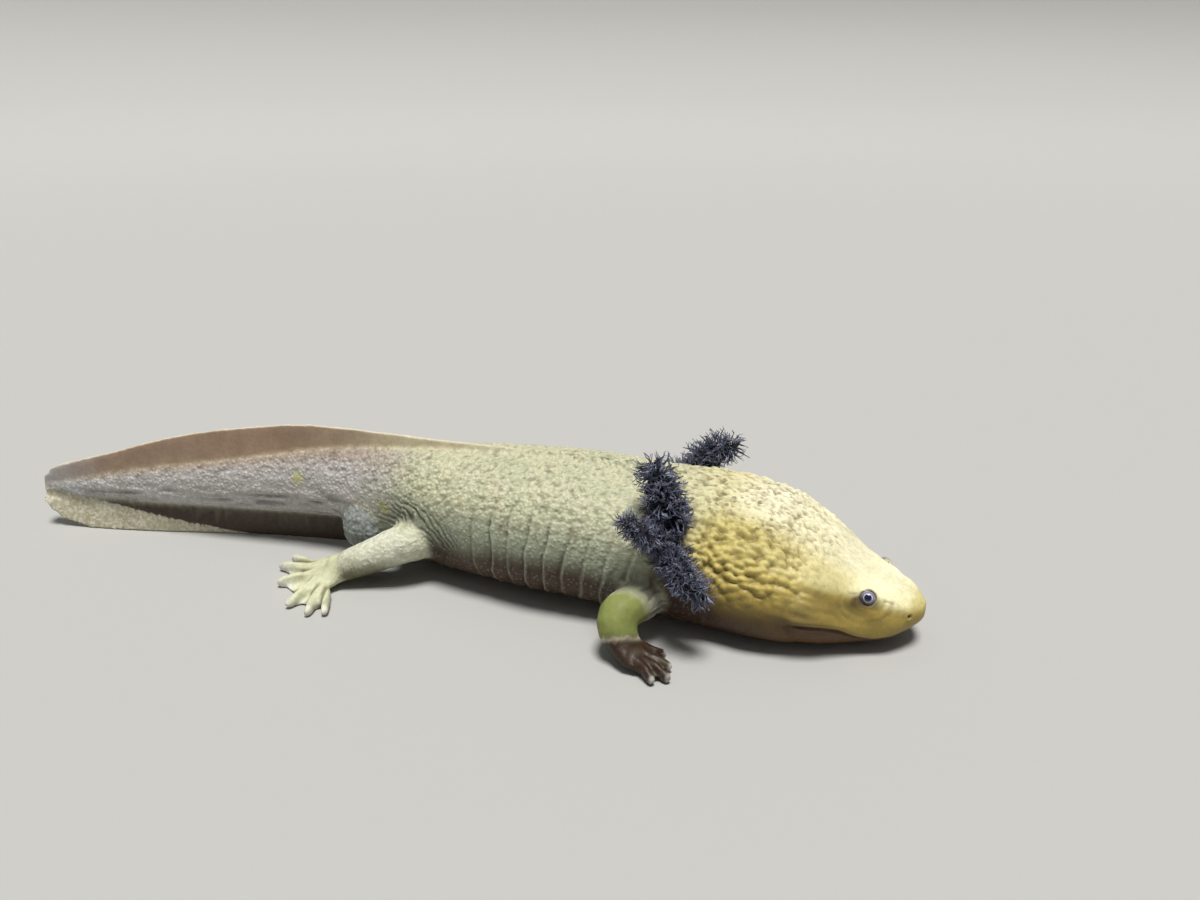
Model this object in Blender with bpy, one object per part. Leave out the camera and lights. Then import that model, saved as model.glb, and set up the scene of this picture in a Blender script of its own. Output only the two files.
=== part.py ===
"""Life-size still model of a Lake Patzcuaro salamander, an achoque, lying on its belly.

Frame: metres, +Z up, the floor at z = 0. The trunk runs along X with the head towards +X, and the
animal's right side is -Y. The origin is the middle of the bounding box, at floor level.
Inside this file lengths are millimetres until a mesh is made.

The body is one smooth tube round a curved midline. It is parted into lengths by planes across that
midline, and limbs, fins, gills and eyes are trimmed so that they stop just short of it.
"""
import math

import bpy
import bmesh
import numpy as np
from mathutils import Vector

MM = 0.001
GAP = 0.3                # clearance between neighbouring pieces
TOTAL_LENGTH = 273.0     # snout to tail tip along the midline
PINNED_AT = 100.0        # the place on the midline that starts out at x = 0, y = 0

# The pose of the midline, seen from above: its direction, towards the head, in degrees from +X.
# The head and the tail both swing to the right.
HEADINGS = ((0.0, -10.5), (44.0, -10.5), (62.0, 5.0), (82.0, 0.0), (112.0, 0.5), (145.0, 2.5),
            (195.0, 9.0), (240.0, 9.0), (276.0, 6.0))
PINNED_LEFT = 1.1        # how far to the left of y = 0 the pinned place lies

# Cross-sections of the body. Heights are above the floor; the widest level is where the flank stands
# furthest out, and the two roundness powers shape the section above and below it (2 is an ellipse).
#    from snout, half width, back, widest level, underside, power above, power below
SECTIONS = {
    "snout tip":    (0.0, 1.8, 10.9, 9.2, 7.4, 2.0, 2.0),
    "snout":        (0.8, 4.0, 12.0, 8.9, 6.0, 2.1, 2.1),
    "nostrils":     (2.6, 6.9, 13.4, 8.4, 4.2, 2.2, 2.2),
    "muzzle":       (6.0, 10.7, 15.0, 7.9, 2.0, 2.2, 2.4),
    "eyes":         (12.5, 14.4, 17.2, 7.8, 0.0, 2.2, 2.6),
    "mouth corner": (25.0, 22.6, 24.2, 9.4, -0.9, 2.1, 2.7),
    "cheeks":       (41.0, 27.2, 31.6, 12.2, -1.0, 2.1, 2.9),
    "gills":        (56.0, 27.2, 34.2, 12.6, -1.0, 2.1, 3.1),
    "shoulders":    (68.0, 25.6, 34.9, 13.6, -1.0, 2.1, 2.9),
    "ribs":         (96.0, 25.9, 36.1, 16.0, -1.0, 2.1, 2.3),
    "loins":        (120.0, 22.7, 35.6, 16.4, -0.9, 2.1, 2.2),
    "hips":         (137.0, 18.8, 34.7, 16.6, -0.6, 2.1, 2.1),
    "vent":         (153.0, 12.4, 33.4, 17.2, 4.2, 2.0, 2.0),
    "tail root":    (172.0, 8.2, 31.6, 18.6, 9.0, 1.9, 1.9),
    "mid tail":     (205.0, 5.2, 26.2, 17.2, 9.0, 1.9, 1.9),
    "tail blade":   (240.0, 2.8, 20.4, 14.2, 8.6, 1.9, 1.9),
    "tail tip":     (272.8, 0.9, 12.8, 11.0, 9.2, 1.9, 1.9),
}
SIDES = 24               # points round a body section
HEAD_CROWD = 2.0         # draws the head's rings together towards the snout

# Lengths of the body that are separate pieces: where each starts and ends on the midline, and its rings.
BODY_PIECES = {
    "head": (0.0, 53.0, 14),
    "neck": (53.0, 66.0, 5),
    "trunk_front": (66.0, 88.0, 6),
    "trunk_middle": (88.0, 115.0, 7),
    "trunk_rear": (115.0, 143.0, 8),
    "tail_root": (143.0, 176.0, 7),
    "tail_middle": (176.0, 222.0, 7),
    "tail_end": (222.0, 272.8, 8),
}

# The closed mouth: height of the slit along the jaw, the last point being the mouth's corner.
MOUTH_LINE = ((-3.0, 6.2), (4.0, 5.2), (9.5, 4.2), (13.0, 5.1), (18.0, 8.0), (22.0, 9.0), (27.0, 9.4))
JAW_HINGE_DROP = 5.0     # the jaw's back edge slopes forward by this much towards the throat

EYE_AT, EYE_OUT, EYE_UP, EYE_RADIUS = 12.8, 9.6, 14.3, 2.1
NOSTRIL_AT, NOSTRIL_OUT, NOSTRIL_UP, NOSTRIL_RADIUS = 2.5, 6.6, 10.0, 0.5

# Fins: the height of the edge above the floor along the midline, and half thicknesses.
BACK_CREST = ((58.0, 34.6), (69.0, 37.0), (83.0, 37.7), (107.0, 37.4), (132.0, 37.0), (160.0, 37.8))
TAIL_CREST = ((160.0, 37.8), (180.0, 38.4), (196.0, 36.9), (217.0, 33.7), (230.0, 30.6), (245.0, 26.0),
              (260.0, 21.8), (270.0, 18.4), (TOTAL_LENGTH, 16.0))
KEEL = ((160.0, 2.4), (172.0, -0.4), (254.0, -0.4), (262.0, 1.4), (268.0, 4.2), (TOTAL_LENGTH, 8.4))
FIN_PARTING = 160.0      # where the crest of the back ends and the tail's upper fin begins
KEEL_START = 170.0
FIN_ROOT_HALF, FIN_EDGE_HALF = 1.9, 0.55
FIN_RINGS = 12
KEEL_LEAN, KEEL_LEANS_FROM_TO = 3.4, (195.0, 250.0)      # the keel's edge leans out to the right

# The swelling under the vent: place along, left, up and its radii in the same order.
VENT_AT, VENT_RADII = (158.6, -3.6, 10.2), (10.2, 10.6, 10.8)

# Limbs: knots of each limb's centreline as (x, y, up), with half width and half depth at each knot.
# The first knot lies inside the body. The split is how far along the knee or elbow comes.
LIMBS = {
    "arm_right": (((33.0, -13.0, 9.6), 6.0, 6.0), ((28.8, -27.4, 10.8), 5.3, 5.2),
                  ((26.0, -33.8, 10.0), 5.1, 5.0), ((27.4, -36.8, 5.8), 5.0, 4.4)),
    "arm_left": (((33.0, 18.0, 9.6), 6.0, 6.0), ((29.0, 32.0, 10.4), 5.3, 5.2),
                 ((26.0, 38.2, 9.4), 5.1, 5.0), ((26.8, 41.6, 5.6), 4.8, 4.2)),
    "leg_right": (((-32.0, -8.0, 12.6), 6.4, 6.6), ((-40.5, -17.6, 12.2), 5.8, 5.8),
                  ((-49.0, -20.9, 8.7), 5.7, 4.9), ((-57.8, -23.2, 5.0), 6.2, 4.0)),
    "leg_left": (((-32.0, 10.0, 12.6), 6.4, 6.6), ((-38.0, 21.0, 11.6), 5.8, 5.8),
                 ((-46.5, 28.7, 8.4), 5.7, 4.8), ((-54.6, 33.2, 5.0), 6.0, 4.0)),
}
LIMB_SPLIT = {"arm": 0.56, "leg": 0.44}
LIMB_SEGMENTS = {"arm": ("upper_arm", "forearm", "hand"), "leg": ("thigh", "shank", "foot")}

# Hands and feet: the middle of the palm or sole, then the tips of the digits from the inner one out.
HANDS = {
    "hand_right": ((31.6, -37.8, 2.9), ((38.4, -33.8), (41.0, -38.8), (41.6, -43.4), (38.0, -45.4))),
    "hand_left": ((31.0, 43.0, 2.8), ((38.6, 39.0), (41.4, 44.0), (40.2, 49.2), (34.8, 50.8))),
}
FEET = {
    "foot_right": ((-63.4, -25.6, 2.8), ((-79.1, -18.3), (-79.8, -23.6), (-74.6, -32.2), (-65.0, -41.6),
                                         (-57.6, -43.6), (-53.2, -42.0))),
    "foot_left": ((-59.4, 36.8, 2.8), ((-75.0, 30.0), (-77.6, 36.4), (-74.8, 44.0), (-67.6, 50.6),
                                       (-58.6, 51.4))),
}
DIGIT_RADIUS, DIGIT_UP = 1.5, 1.2
DIGIT_TAPER = ((0.0, 1.05), (0.5, 1.0), (0.9, 0.86), (1.0, 0.42))   # share of length, share of radius
WEB_THICK = 0.9
WEB_REACH = {"arm": 0.62, "leg": 0.90}      # how far out the web goes along the digits
WEB_DIP = 0.86                              # and how much less far between them
WRIST_STARTS = 0.93                         # the palm's root lies inside the limb's end
CLEARED_FROM = 0.86                         # and the limb is cleared from this share of its length
PALM_REACH = {"arm": 4.6, "leg": 5.6}       # from the middle of the palm to its front edge
PALM_SPREAD = {"arm": 1.12, "leg": 1.25}    # the palm's half width over the limb's
PALM_TAPER, PALM_HALF_DEEP = (1.0, 0.94, 0.62), (2.8, 2.0, 1.1)   # at its middle, on the way and in front

# Gill bushes: stalk centrelines as (along, out to the side, up), and the radius of the bush.
GILLS = {
    "gill_right_upper": (
        ((66.2, -16.5, 26.0), (67.2, -19.5, 33.6), (69.3, -18.6, 39.4), (71.4, -14.8, 42.6)),
        5.2,
    ),
    "gill_right_middle": (
        ((66.7, -19.5, 24.0), (69.2, -26.6, 27.8), (72.2, -29.4, 31.6), (75.6, -28.6, 33.6)),
        3.6,
    ),
    "gill_right_lower": (
        ((66.3, -20.0, 21.6), (63.4, -28.6, 21.6), (57.6, -32.0, 18.8), (49.5, -32.2, 16.6)),
        4.2,
    ),
    "gill_left_upper": (
        ((64.5, 14.5, 27.0), (62.6, 17.4, 31.6), (59.2, 19.0, 34.4), (55.0, 18.6, 36.0)),
        4.8,
    ),
    "gill_left_middle": (
        ((65.0, 19.5, 21.0), (68.4, 26.8, 22.4), (72.6, 30.0, 22.4), (76.6, 31.0, 20.8)),
        3.8,
    ),
    "gill_left_lower": (
        ((61.0, 21.0, 16.5), (58.4, 28.6, 16.4), (54.4, 32.0, 12.6), (50.6, 32.8, 8.6)),
        4.2,
    ),
}
GILL_ROOT, GILL_LUMP = 2.6, 0.10
GILL_FULL_AT = 0.5                          # share of the stalk where the bush has its full radius
GILL_ROUNDS_FROM, GILL_ROUNDS_OVER = 0.62, 0.40     # shares of the stalk over which its end rounds off

# Skins and eyes: base colour, roughness, and the pieces that have them.
FINISHES = {
    "ochre_skin": ((0.58, 0.50, 0.20), 0.38, ("head", "lower_jaw")),
    "olive_skin": ((0.40, 0.42, 0.27), 0.42, ("neck", "trunk_front", "trunk_middle", "trunk_rear",
                                              "upper_arm_right", "upper_arm_left", "forearm_right",
                                              "forearm_left")),
    "mauve_skin": ((0.33, 0.30, 0.28), 0.42, ("tail_root", "tail_middle", "tail_end", "vent_swelling")),
    "fin_skin": ((0.31, 0.24, 0.20), 0.36, ("back_crest", "tail_fin_upper", "tail_fin_lower")),
    "pale_skin": ((0.72, 0.68, 0.50), 0.40, ("thigh_right", "thigh_left", "shank_right", "shank_left",
                                             "foot_right", "foot_left")),
    "brown_skin": ((0.42, 0.22, 0.12), 0.40, ("hand_right", "hand_left")),
    "gill_skin": ((0.035, 0.035, 0.07), 0.30, tuple(GILLS)),
    "eye_silver": ((0.45, 0.46, 0.55), 0.08, ("eye_right", "eye_left")),
}


def smooth_step(value, start, end):
    """0 before start, 1 after end and a smooth rise between them."""
    share = np.clip((value - start) / (end - start), 0.0, 1.0)
    return share * share * (3 - 2 * share)


def curve_through(knots, values, at):
    """A smooth curve through the knots that never overshoots them (monotone cubic)."""
    x, y = np.asarray(knots, float), np.asarray(values, float)
    step, rise = np.diff(x), np.diff(y) / np.diff(x)
    slope = np.zeros(len(x))
    slope[0], slope[-1] = rise[0], rise[-1]
    for i in range(1, len(x) - 1):
        if rise[i - 1] * rise[i] > 0:
            before, after = 2 * step[i] + step[i - 1], step[i] + 2 * step[i - 1]
            slope[i] = (before + after) / (before / rise[i - 1] + after / rise[i])
    at = np.clip(at, x[0], x[-1])
    i = np.clip(np.searchsorted(x, at, side="right") - 1, 0, len(step) - 1)
    u = (at - x[i]) / step[i]
    return (y[i] * (1 + 2 * u) * (1 - u) ** 2 + y[i + 1] * u * u * (3 - 2 * u)
            + step[i] * (slope[i] * u * (1 - u) ** 2 - slope[i + 1] * u * u * (1 - u)))


HEADING_AT, HEADING_TURN = zip(*HEADINGS)


def heading(along):
    """The midline's direction, towards the head, as an angle from +X."""
    return np.radians(curve_through(HEADING_AT, HEADING_TURN, along))


MIDLINE_S = np.linspace(-8.0, TOTAL_LENGTH + 8.0, 1200)
STEP = MIDLINE_S[1] - MIDLINE_S[0]
MIDLINE_X = -np.cumsum(np.cos(heading(MIDLINE_S))) * STEP
MIDLINE_Y = -np.cumsum(np.sin(heading(MIDLINE_S))) * STEP
MIDLINE_X -= np.interp(PINNED_AT, MIDLINE_S, MIDLINE_X)
MIDLINE_Y -= np.interp(PINNED_AT, MIDLINE_S, MIDLINE_Y) - PINNED_LEFT


def place(along, left, up):
    """A point from its place on the midline, how far it lies to the animal's left, and its height."""
    angle = float(heading(along))
    x = float(np.interp(along, MIDLINE_S, MIDLINE_X)) - math.sin(angle) * left
    y = float(np.interp(along, MIDLINE_S, MIDLINE_Y)) + math.cos(angle) * left
    return Vector((x, y, up))


STATIONS = np.array(list(SECTIONS.values()))


def section(along):
    """(half width, back, widest level, underside, power above, power below) at a place on the midline.
    Past the last station, out on the tail's fin, it is that station's."""
    return [float(curve_through(STATIONS[:, 0], STATIONS[:, k], along)) for k in range(1, 7)]


def body_ring(along, grow=0.0):
    """The body's section as a ring of points, grown outwards by grow."""
    half, back, level, under, power_up, power_down = section(along)
    half, back, under = half + grow, back + grow, under - grow
    ring = []
    for i in range(SIDES):
        angle = 2 * math.pi * i / SIDES
        across, rise = math.cos(angle), math.sin(angle)
        power, reach = (power_up, back - level) if rise >= 0 else (power_down, level - under)
        left = half * math.copysign(abs(across) ** (2 / power), across)
        up = level + reach * math.copysign(abs(rise) ** (2 / power), rise)
        ring.append(place(along, left, up))
    return ring


def solid_of_rings(name, rings):
    """A closed solid through rings of equally many points, with flat ends."""
    mesh = bmesh.new()
    loops = [[mesh.verts.new(p * MM) for p in ring] for ring in rings]
    count = len(loops[0])
    for one, two in zip(loops, loops[1:]):
        for i in range(count):
            j = (i + 1) % count
            mesh.faces.new((one[i], one[j], two[j], two[i]))
    mesh.faces.new(loops[0][::-1])
    mesh.faces.new(loops[-1])
    bmesh.ops.recalc_face_normals(mesh, faces=mesh.faces)
    data = bpy.data.meshes.new(name)
    mesh.to_mesh(data)
    mesh.free()
    return add_object(name, data)


def add_object(name, data):
    """A new object with this mesh."""
    made = bpy.data.objects.new(name, data)
    bpy.context.scene.collection.objects.link(made)
    return made


def as_cutter(made):
    """Marks a helper that only cuts or joins and isn't a piece itself."""
    made.hide_render = True
    made.display_type = "WIRE"
    return made


def combine(made, other, operation):
    """Adds a Boolean of made with other, which stays as a hidden helper."""
    boolean = made.modifiers.new(f"{operation.lower()} {other.name}", "BOOLEAN")
    boolean.operation = operation
    boolean.solver = "EXACT"
    boolean.object = as_cutter(other)
    return made


def body_length(name, start, end, rings, grow=0.0, crowd=1.0):
    """A length of the body; crowd over 1 draws the rings together towards the start."""
    places = start + (end - start) * np.linspace(0, 1, rings + 1) ** crowd
    return solid_of_rings(name, [body_ring(float(s), grow) for s in places])


def ellipsoid(name, centre, radii, grow=0.0, rings=8, sides=14):
    """A ball stretched along, across and up, turned to follow the midline at its place."""
    along, left, up = centre
    long, wide, tall = (radius + grow for radius in radii)
    turns = [2 * math.pi * k / sides for k in range(sides)]
    loops = []
    for i in range(1, rings):
        polar = math.pi * i / rings
        reach = math.sin(polar)
        loops.append([place(along - long * math.cos(polar), left + wide * reach * math.cos(turn),
                            up + tall * reach * math.sin(turn)) for turn in turns])
    return solid_of_rings(name, loops)


def curve_points(knots, places):
    """Points on a smooth curve through the knots, at places from 0 to 1 along its length."""
    knots = np.array([list(k) for k in knots], float)
    length = np.concatenate([[0], np.cumsum(np.linalg.norm(np.diff(knots, axis=0), axis=1))])
    length /= length[-1]
    padded = np.vstack([2 * knots[0] - knots[1], knots, 2 * knots[-1] - knots[-2]])
    points = []
    for place_on in places:
        i = min(int(np.searchsorted(length, place_on, side="right")) - 1, len(knots) - 2)
        i = max(i, 0)
        u = (place_on - length[i]) / (length[i + 1] - length[i])
        a, b, c, d = padded[i:i + 4]
        points.append(Vector(0.5 * (2 * b + (c - a) * u + (2 * a - 5 * b + 4 * c - d) * u * u
                                    + (3 * b - 3 * c + d - a) * u ** 3)))
    return points


# ---- pieces --------------------------------------------------------------------------------------

def floor_cutter():
    """Everything below the floor, which flattens the belly, chin, soles and keel where they rest."""
    square = ((-400, -400), (400, -400), (400, 400), (-400, 400))
    return solid_of_rings("floor_cutter", [[Vector((x, y, up)) for x, y in square] for up in (-60, 0)])


def jaw_block(name, shift=0.0):
    """The space of the lower jaw: below the mouth line and in front of its hinge line."""
    corner, corner_up = MOUTH_LINE[-1]
    outline = [(s, up + shift) for s, up in MOUTH_LINE[:-1]]
    outline += [(corner + shift, corner_up + shift), (corner - JAW_HINGE_DROP + shift, -4.0), (-3.0, -4.0)]
    return solid_of_rings(name, [[place(s, left, up) for s, up in outline] for left in (-40.0, 40.0)])


def body_pieces(floor):
    """The head, jaw, neck, trunk and tail as lengths of one tube."""
    made = {}
    for name, (start, end, rings) in BODY_PIECES.items():
        lead = 0.0 if name == "head" else GAP / 2
        trail = 0.0 if name == "tail_end" else GAP / 2
        crowd = HEAD_CROWD if name == "head" else 1.0
        piece = body_length(name, start + lead, end - trail, rings, crowd=crowd)
        made[name] = combine(piece, floor, "DIFFERENCE")
    jaw = body_length("lower_jaw", 0.0, 45.0, 12, crowd=HEAD_CROWD)
    made["lower_jaw"] = combine(jaw, floor, "DIFFERENCE")
    combine(made["lower_jaw"], jaw_block("jaw_space"), "INTERSECT")
    combine(made["head"], jaw_block("jaw_clearance", GAP), "DIFFERENCE")
    return made


def eyes_and_nostrils(head):
    """Round eyes in sockets at the side of the head, and a pit for each nostril."""
    eyes = {}
    for side, left in (("right", -1), ("left", 1)):
        centre = place(EYE_AT, left * EYE_OUT, EYE_UP)
        for name, radius in ((f"eye_{side}", EYE_RADIUS), (f"socket_{side}", EYE_RADIUS + GAP)):
            bpy.ops.mesh.primitive_uv_sphere_add(segments=14, ring_count=8, radius=radius * MM,
                                                 location=centre * MM)
            made = bpy.context.object
            made.name = made.data.name = name
            if name.startswith("socket"):
                combine(head, made, "DIFFERENCE")
            else:
                eyes[name] = made
        bpy.ops.mesh.primitive_uv_sphere_add(segments=8, ring_count=6, radius=NOSTRIL_RADIUS * MM,
                                             location=place(NOSTRIL_AT, left * NOSTRIL_OUT, NOSTRIL_UP) * MM)
        bpy.context.object.name = f"nostril_{side}"
        combine(head, bpy.context.object, "DIFFERENCE")
    return eyes


def fin(name, start, end, edge_line, root_level, lean=0.0):
    """A fin blade on the midline, from root_level inside the body out to edge_line."""
    knots, heights = zip(*edge_line)
    loops = []
    for s in np.linspace(start, end, FIN_RINGS + 1):
        edge, root = curve_through(knots, heights, s), root_level(s)
        thin_root = 1 - 0.55 * smooth_step(s, 200.0, TOTAL_LENGTH)
        leaning = lean * smooth_step(s, *KEEL_LEANS_FROM_TO)
        right, left = [], []
        for share, half in ((0.0, FIN_ROOT_HALF * thin_root), (0.45, FIN_ROOT_HALF * 0.62 * thin_root),
                            (0.85, FIN_EDGE_HALF * 1.25), (1.0, FIN_EDGE_HALF)):
            up, middle = float(root + (edge - root) * share), float(-leaning * share ** 2)
            right.append(place(s, middle - float(half), up))
            left.append(place(s, middle + float(half), up))
        loops.append(right + left[::-1])
    return solid_of_rings(name, loops)


def fins(body, floor):
    """The crest along the back, and the tail's upper and lower blades."""
    crest = fin("back_crest", BACK_CREST[0][0] + 2, FIN_PARTING - GAP / 2, BACK_CREST,
                lambda s: section(s)[1] - 3)
    upper = fin("tail_fin_upper", FIN_PARTING + GAP / 2, TOTAL_LENGTH, TAIL_CREST,
                lambda s: section(s)[2] + GAP / 2)
    lower = fin("tail_fin_lower", KEEL_START, TOTAL_LENGTH, KEEL,
                lambda s: section(s)[2] - GAP / 2, KEEL_LEAN)
    combine(crest, body, "DIFFERENCE")
    combine(upper, body, "DIFFERENCE")
    combine(lower, body, "DIFFERENCE")
    combine(lower, ellipsoid("vent_clearance", VENT_AT, VENT_RADII, GAP), "DIFFERENCE")
    combine(lower, floor, "DIFFERENCE")
    return {made.name: made for made in (crest, upper, lower)}


def limb_ring(knots, share, grow=0.0, sides=14):
    """The limb's cross-section at a share of its centreline, grown outwards by grow."""
    centres = [knot[0] for knot in knots]
    spans = [0.0] + [(Vector(b) - Vector(a)).length for a, b in zip(centres, centres[1:])]
    reached = np.cumsum(spans) / sum(spans)
    behind, point, ahead = curve_points(centres, (share - 0.02, share, share + 0.02))
    wide = float(curve_through(reached, [knot[1] for knot in knots], share)) + grow
    deep = float(curve_through(reached, [knot[2] for knot in knots], share)) + grow
    return oval(point, ahead - behind, wide, deep, sides)


def oval(centre, forward, wide, deep, sides=14):
    """An oval ring square to forward: wide from side to side, deep the other way."""
    forward = forward.normalized()
    across = Vector((0, 0, 1)).cross(forward).normalized()
    upright = forward.cross(across).normalized()
    turns = [2 * math.pi * k / sides for k in range(sides)]
    return [centre + across * wide * math.cos(turn) + upright * deep * math.sin(turn) for turn in turns]


def limb_segment(name, knots, start, end, rings, grow=0.0):
    """A length of a limb, from start to end as shares of its centreline."""
    shares = np.linspace(start, end, rings + 1)
    return solid_of_rings(name, [limb_ring(knots, share, grow) for share in shares])


def digit(name, root, tip):
    """A blunt finger or toe, arched a little."""
    arch = root.lerp(tip, 0.5) + Vector((0, 0, 0.5))
    points = curve_points([root, arch, tip], [at for at, _ in DIGIT_TAPER])
    loops = []
    for i, (point, (_, share)) in enumerate(zip(points, DIGIT_TAPER)):
        ahead = points[min(i + 1, len(points) - 1)] - points[max(i - 1, 0)]
        loops.append(oval(point, ahead, DIGIT_RADIUS * share, DIGIT_RADIUS * share, sides=7))
    return solid_of_rings(name, loops)


def web(name, middle, tips, reach):
    """A thin fan between the digits, its edge dipping between their tips."""
    edge = []
    for i, tip in enumerate(tips):
        edge.append(middle.lerp(tip, reach))
        if i + 1 < len(tips):
            edge.append(middle.lerp(tip.lerp(tips[i + 1], 0.5), reach * WEB_DIP))
    loops = []
    for far in edge:
        near = middle.lerp(far, 0.12)
        loops.append([Vector((near.x, near.y, -1.0)), Vector((far.x, far.y, -1.0)),
                      Vector((far.x, far.y, WEB_THICK)), Vector((near.x, near.y, WEB_THICK * 2.2))])
    return solid_of_rings(name, loops)


def hand_or_foot(name, kind, knots, middle, tips):
    """A palm or sole that carries on from inside the limb's end, with digits and a web between them."""
    middle = Vector(middle)
    ends = [Vector((*tip, DIGIT_UP)) for tip in tips]
    fore = sum(((tip - middle).normalized() for tip in ends), Vector())
    fore = Vector((fore.x, fore.y, 0.0)).normalized()
    front = middle + fore * PALM_REACH[kind]
    front.z = DIGIT_UP + 0.2
    wide = knots[-1][1] * PALM_SPREAD[kind]
    palm = [oval(middle.lerp(front, share), fore, wide * taper, deep)
            for share, taper, deep in zip((0.0, 0.6, 1.0), PALM_TAPER, PALM_HALF_DEEP)]
    wrist = limb_ring(knots, 1.0, -GAP)
    blend = [[a.lerp(b, share) for a, b in zip(wrist, palm[0])] for share in (0.4, 0.75)]
    made = solid_of_rings(name, [limb_ring(knots, WRIST_STARTS, -GAP - 0.1), wrist, *blend, *palm])
    combine(made, web(f"{name}_web", middle, ends, WEB_REACH[kind]), "UNION")
    for i, tip in enumerate(ends):
        root = middle.lerp(tip, 0.16) + Vector((0, 0, -0.2))
        combine(made, digit(f"{name}_digit_{i + 1}", root, tip), "UNION")
    return made


def limbs(body, floor):
    """Upper and lower segments of each limb with its hand or foot."""
    made = {}
    for limb, knots in LIMBS.items():
        kind, side = limb.split("_")
        upper, lower, end = (f"{segment}_{side}" for segment in LIMB_SEGMENTS[kind])
        length = sum((Vector(b[0]) - Vector(a[0])).length for a, b in zip(knots, knots[1:]))
        split, gap = LIMB_SPLIT[kind], GAP / length
        made[upper] = combine(limb_segment(upper, knots, 0.0, split - gap / 2, 5), body, "DIFFERENCE")
        made[lower] = combine(limb_segment(lower, knots, split + gap / 2, 1.0, 6), body, "DIFFERENCE")
        made[end] = hand_or_foot(end, kind, knots, *{**HANDS, **FEET}[end])
        clearance = limb_segment(f"{lower}_clearance", knots, CLEARED_FROM, 1.0 + gap, 3, grow=GAP)
        combine(made[end], clearance, "DIFFERENCE")
        combine(made[end], floor, "DIFFERENCE")
    return made


def gill(name, stalk, radius, grow=0.0, sides=12, rings=8):
    """A bushy gill: a lumpy, blunt tube that widens from its stalk."""
    knots = [place(*knot) for knot in stalk]
    shares = np.linspace(0.0, 1.0, rings + 1)
    points = curve_points(knots, shares)
    across = (points[1] - points[0]).cross(Vector((1, 0, 0)))
    loops = []
    for i, point in enumerate(points):
        ahead = (points[min(i + 1, rings)] - points[max(i - 1, 0)]).normalized()
        across = (across - ahead * across.dot(ahead)).normalized()
        upright = across.cross(ahead)
        wide = GILL_ROOT + (radius - GILL_ROOT) * float(smooth_step(shares[i], 0.1, GILL_FULL_AT))
        rounding = max(shares[i] - GILL_ROUNDS_FROM, 0.0) / GILL_ROUNDS_OVER
        wide *= math.sqrt(max(1 - rounding ** 2, 0.02))
        loop = []
        for k in range(sides):
            turn = 2 * math.pi * k / sides
            lump = 1 + GILL_LUMP * math.sin(3 * turn + 2.1 * i) * math.sin(1.7 * i + k)
            loop.append(point + (across * math.cos(turn) + upright * math.sin(turn)) * (wide * lump + grow))
        loops.append(loop)
    return solid_of_rings(name, loops)


def gills(body):
    """Three bushes a side; each stops short of the body and of the one made before it."""
    made = {}
    before = None
    for name, (stalk, radius) in GILLS.items():
        made[name] = combine(gill(name, stalk, radius), body, "DIFFERENCE")
        if before and before.split("_")[1] == name.split("_")[1]:
            combine(made[name], gill(f"{before}_clearance", *GILLS[before], grow=GAP), "DIFFERENCE")
        before = name
    return made


def vent_swelling(body, floor):
    """The rounded swelling under the root of the tail."""
    made = combine(ellipsoid("vent_swelling", VENT_AT, VENT_RADII), body, "DIFFERENCE")
    return combine(made, floor, "DIFFERENCE")


def finish(made):
    """Gives every piece its material and shades it smooth."""
    for name, (colour, roughness, pieces) in FINISHES.items():
        material = bpy.data.materials.new(name)
        material.use_nodes = True
        shader = material.node_tree.nodes["Principled BSDF"]
        shader.inputs["Base Color"].default_value = (*colour, 1.0)
        shader.inputs["Roughness"].default_value = roughness
        for piece in pieces:
            made[piece].data.materials.append(material)
            made[piece].data.shade_smooth()


def centre_on_floor(made):
    """Moves everything so that the origin is the middle of the bounding box, at floor level."""
    bpy.context.view_layer.update()
    graph = bpy.context.evaluated_depsgraph_get()
    corners = [piece.matrix_world @ Vector(corner)
               for piece in made.values() for corner in piece.evaluated_get(graph).bound_box]
    middle = Vector([(min(c[i] for c in corners) + max(c[i] for c in corners)) / 2 for i in (0, 1)] + [0.0])
    for thing in bpy.data.objects:
        thing.location = thing.location - middle


def main():
    for old in list(bpy.data.objects):
        bpy.data.objects.remove(old)
    floor = as_cutter(floor_cutter())
    body = as_cutter(body_length("body_clearance", 30.0, STATIONS[-1, 0] + GAP, 56, grow=GAP))
    made = body_pieces(floor)
    made.update(eyes_and_nostrils(made["head"]))
    made.update(fins(body, floor))
    made.update(limbs(body, floor))
    made.update(gills(body))
    made["vent_swelling"] = vent_swelling(body, floor)
    finish(made)
    centre_on_floor(made)


main()
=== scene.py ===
"""The skin, eyes and gills of a life-size achoque, the Lake Patzcuaro salamander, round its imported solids.

Lengths are millimetres until a mesh is written. A place on the body is (along, left, up): how far along
the midline from the snout, how far to the animal's left of it, and how high above the floor.
"""

import math

import bmesh
import bpy
import numpy as np
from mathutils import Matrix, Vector
from mathutils.bvhtree import BVHTree
from mathutils.kdtree import KDTree


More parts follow.
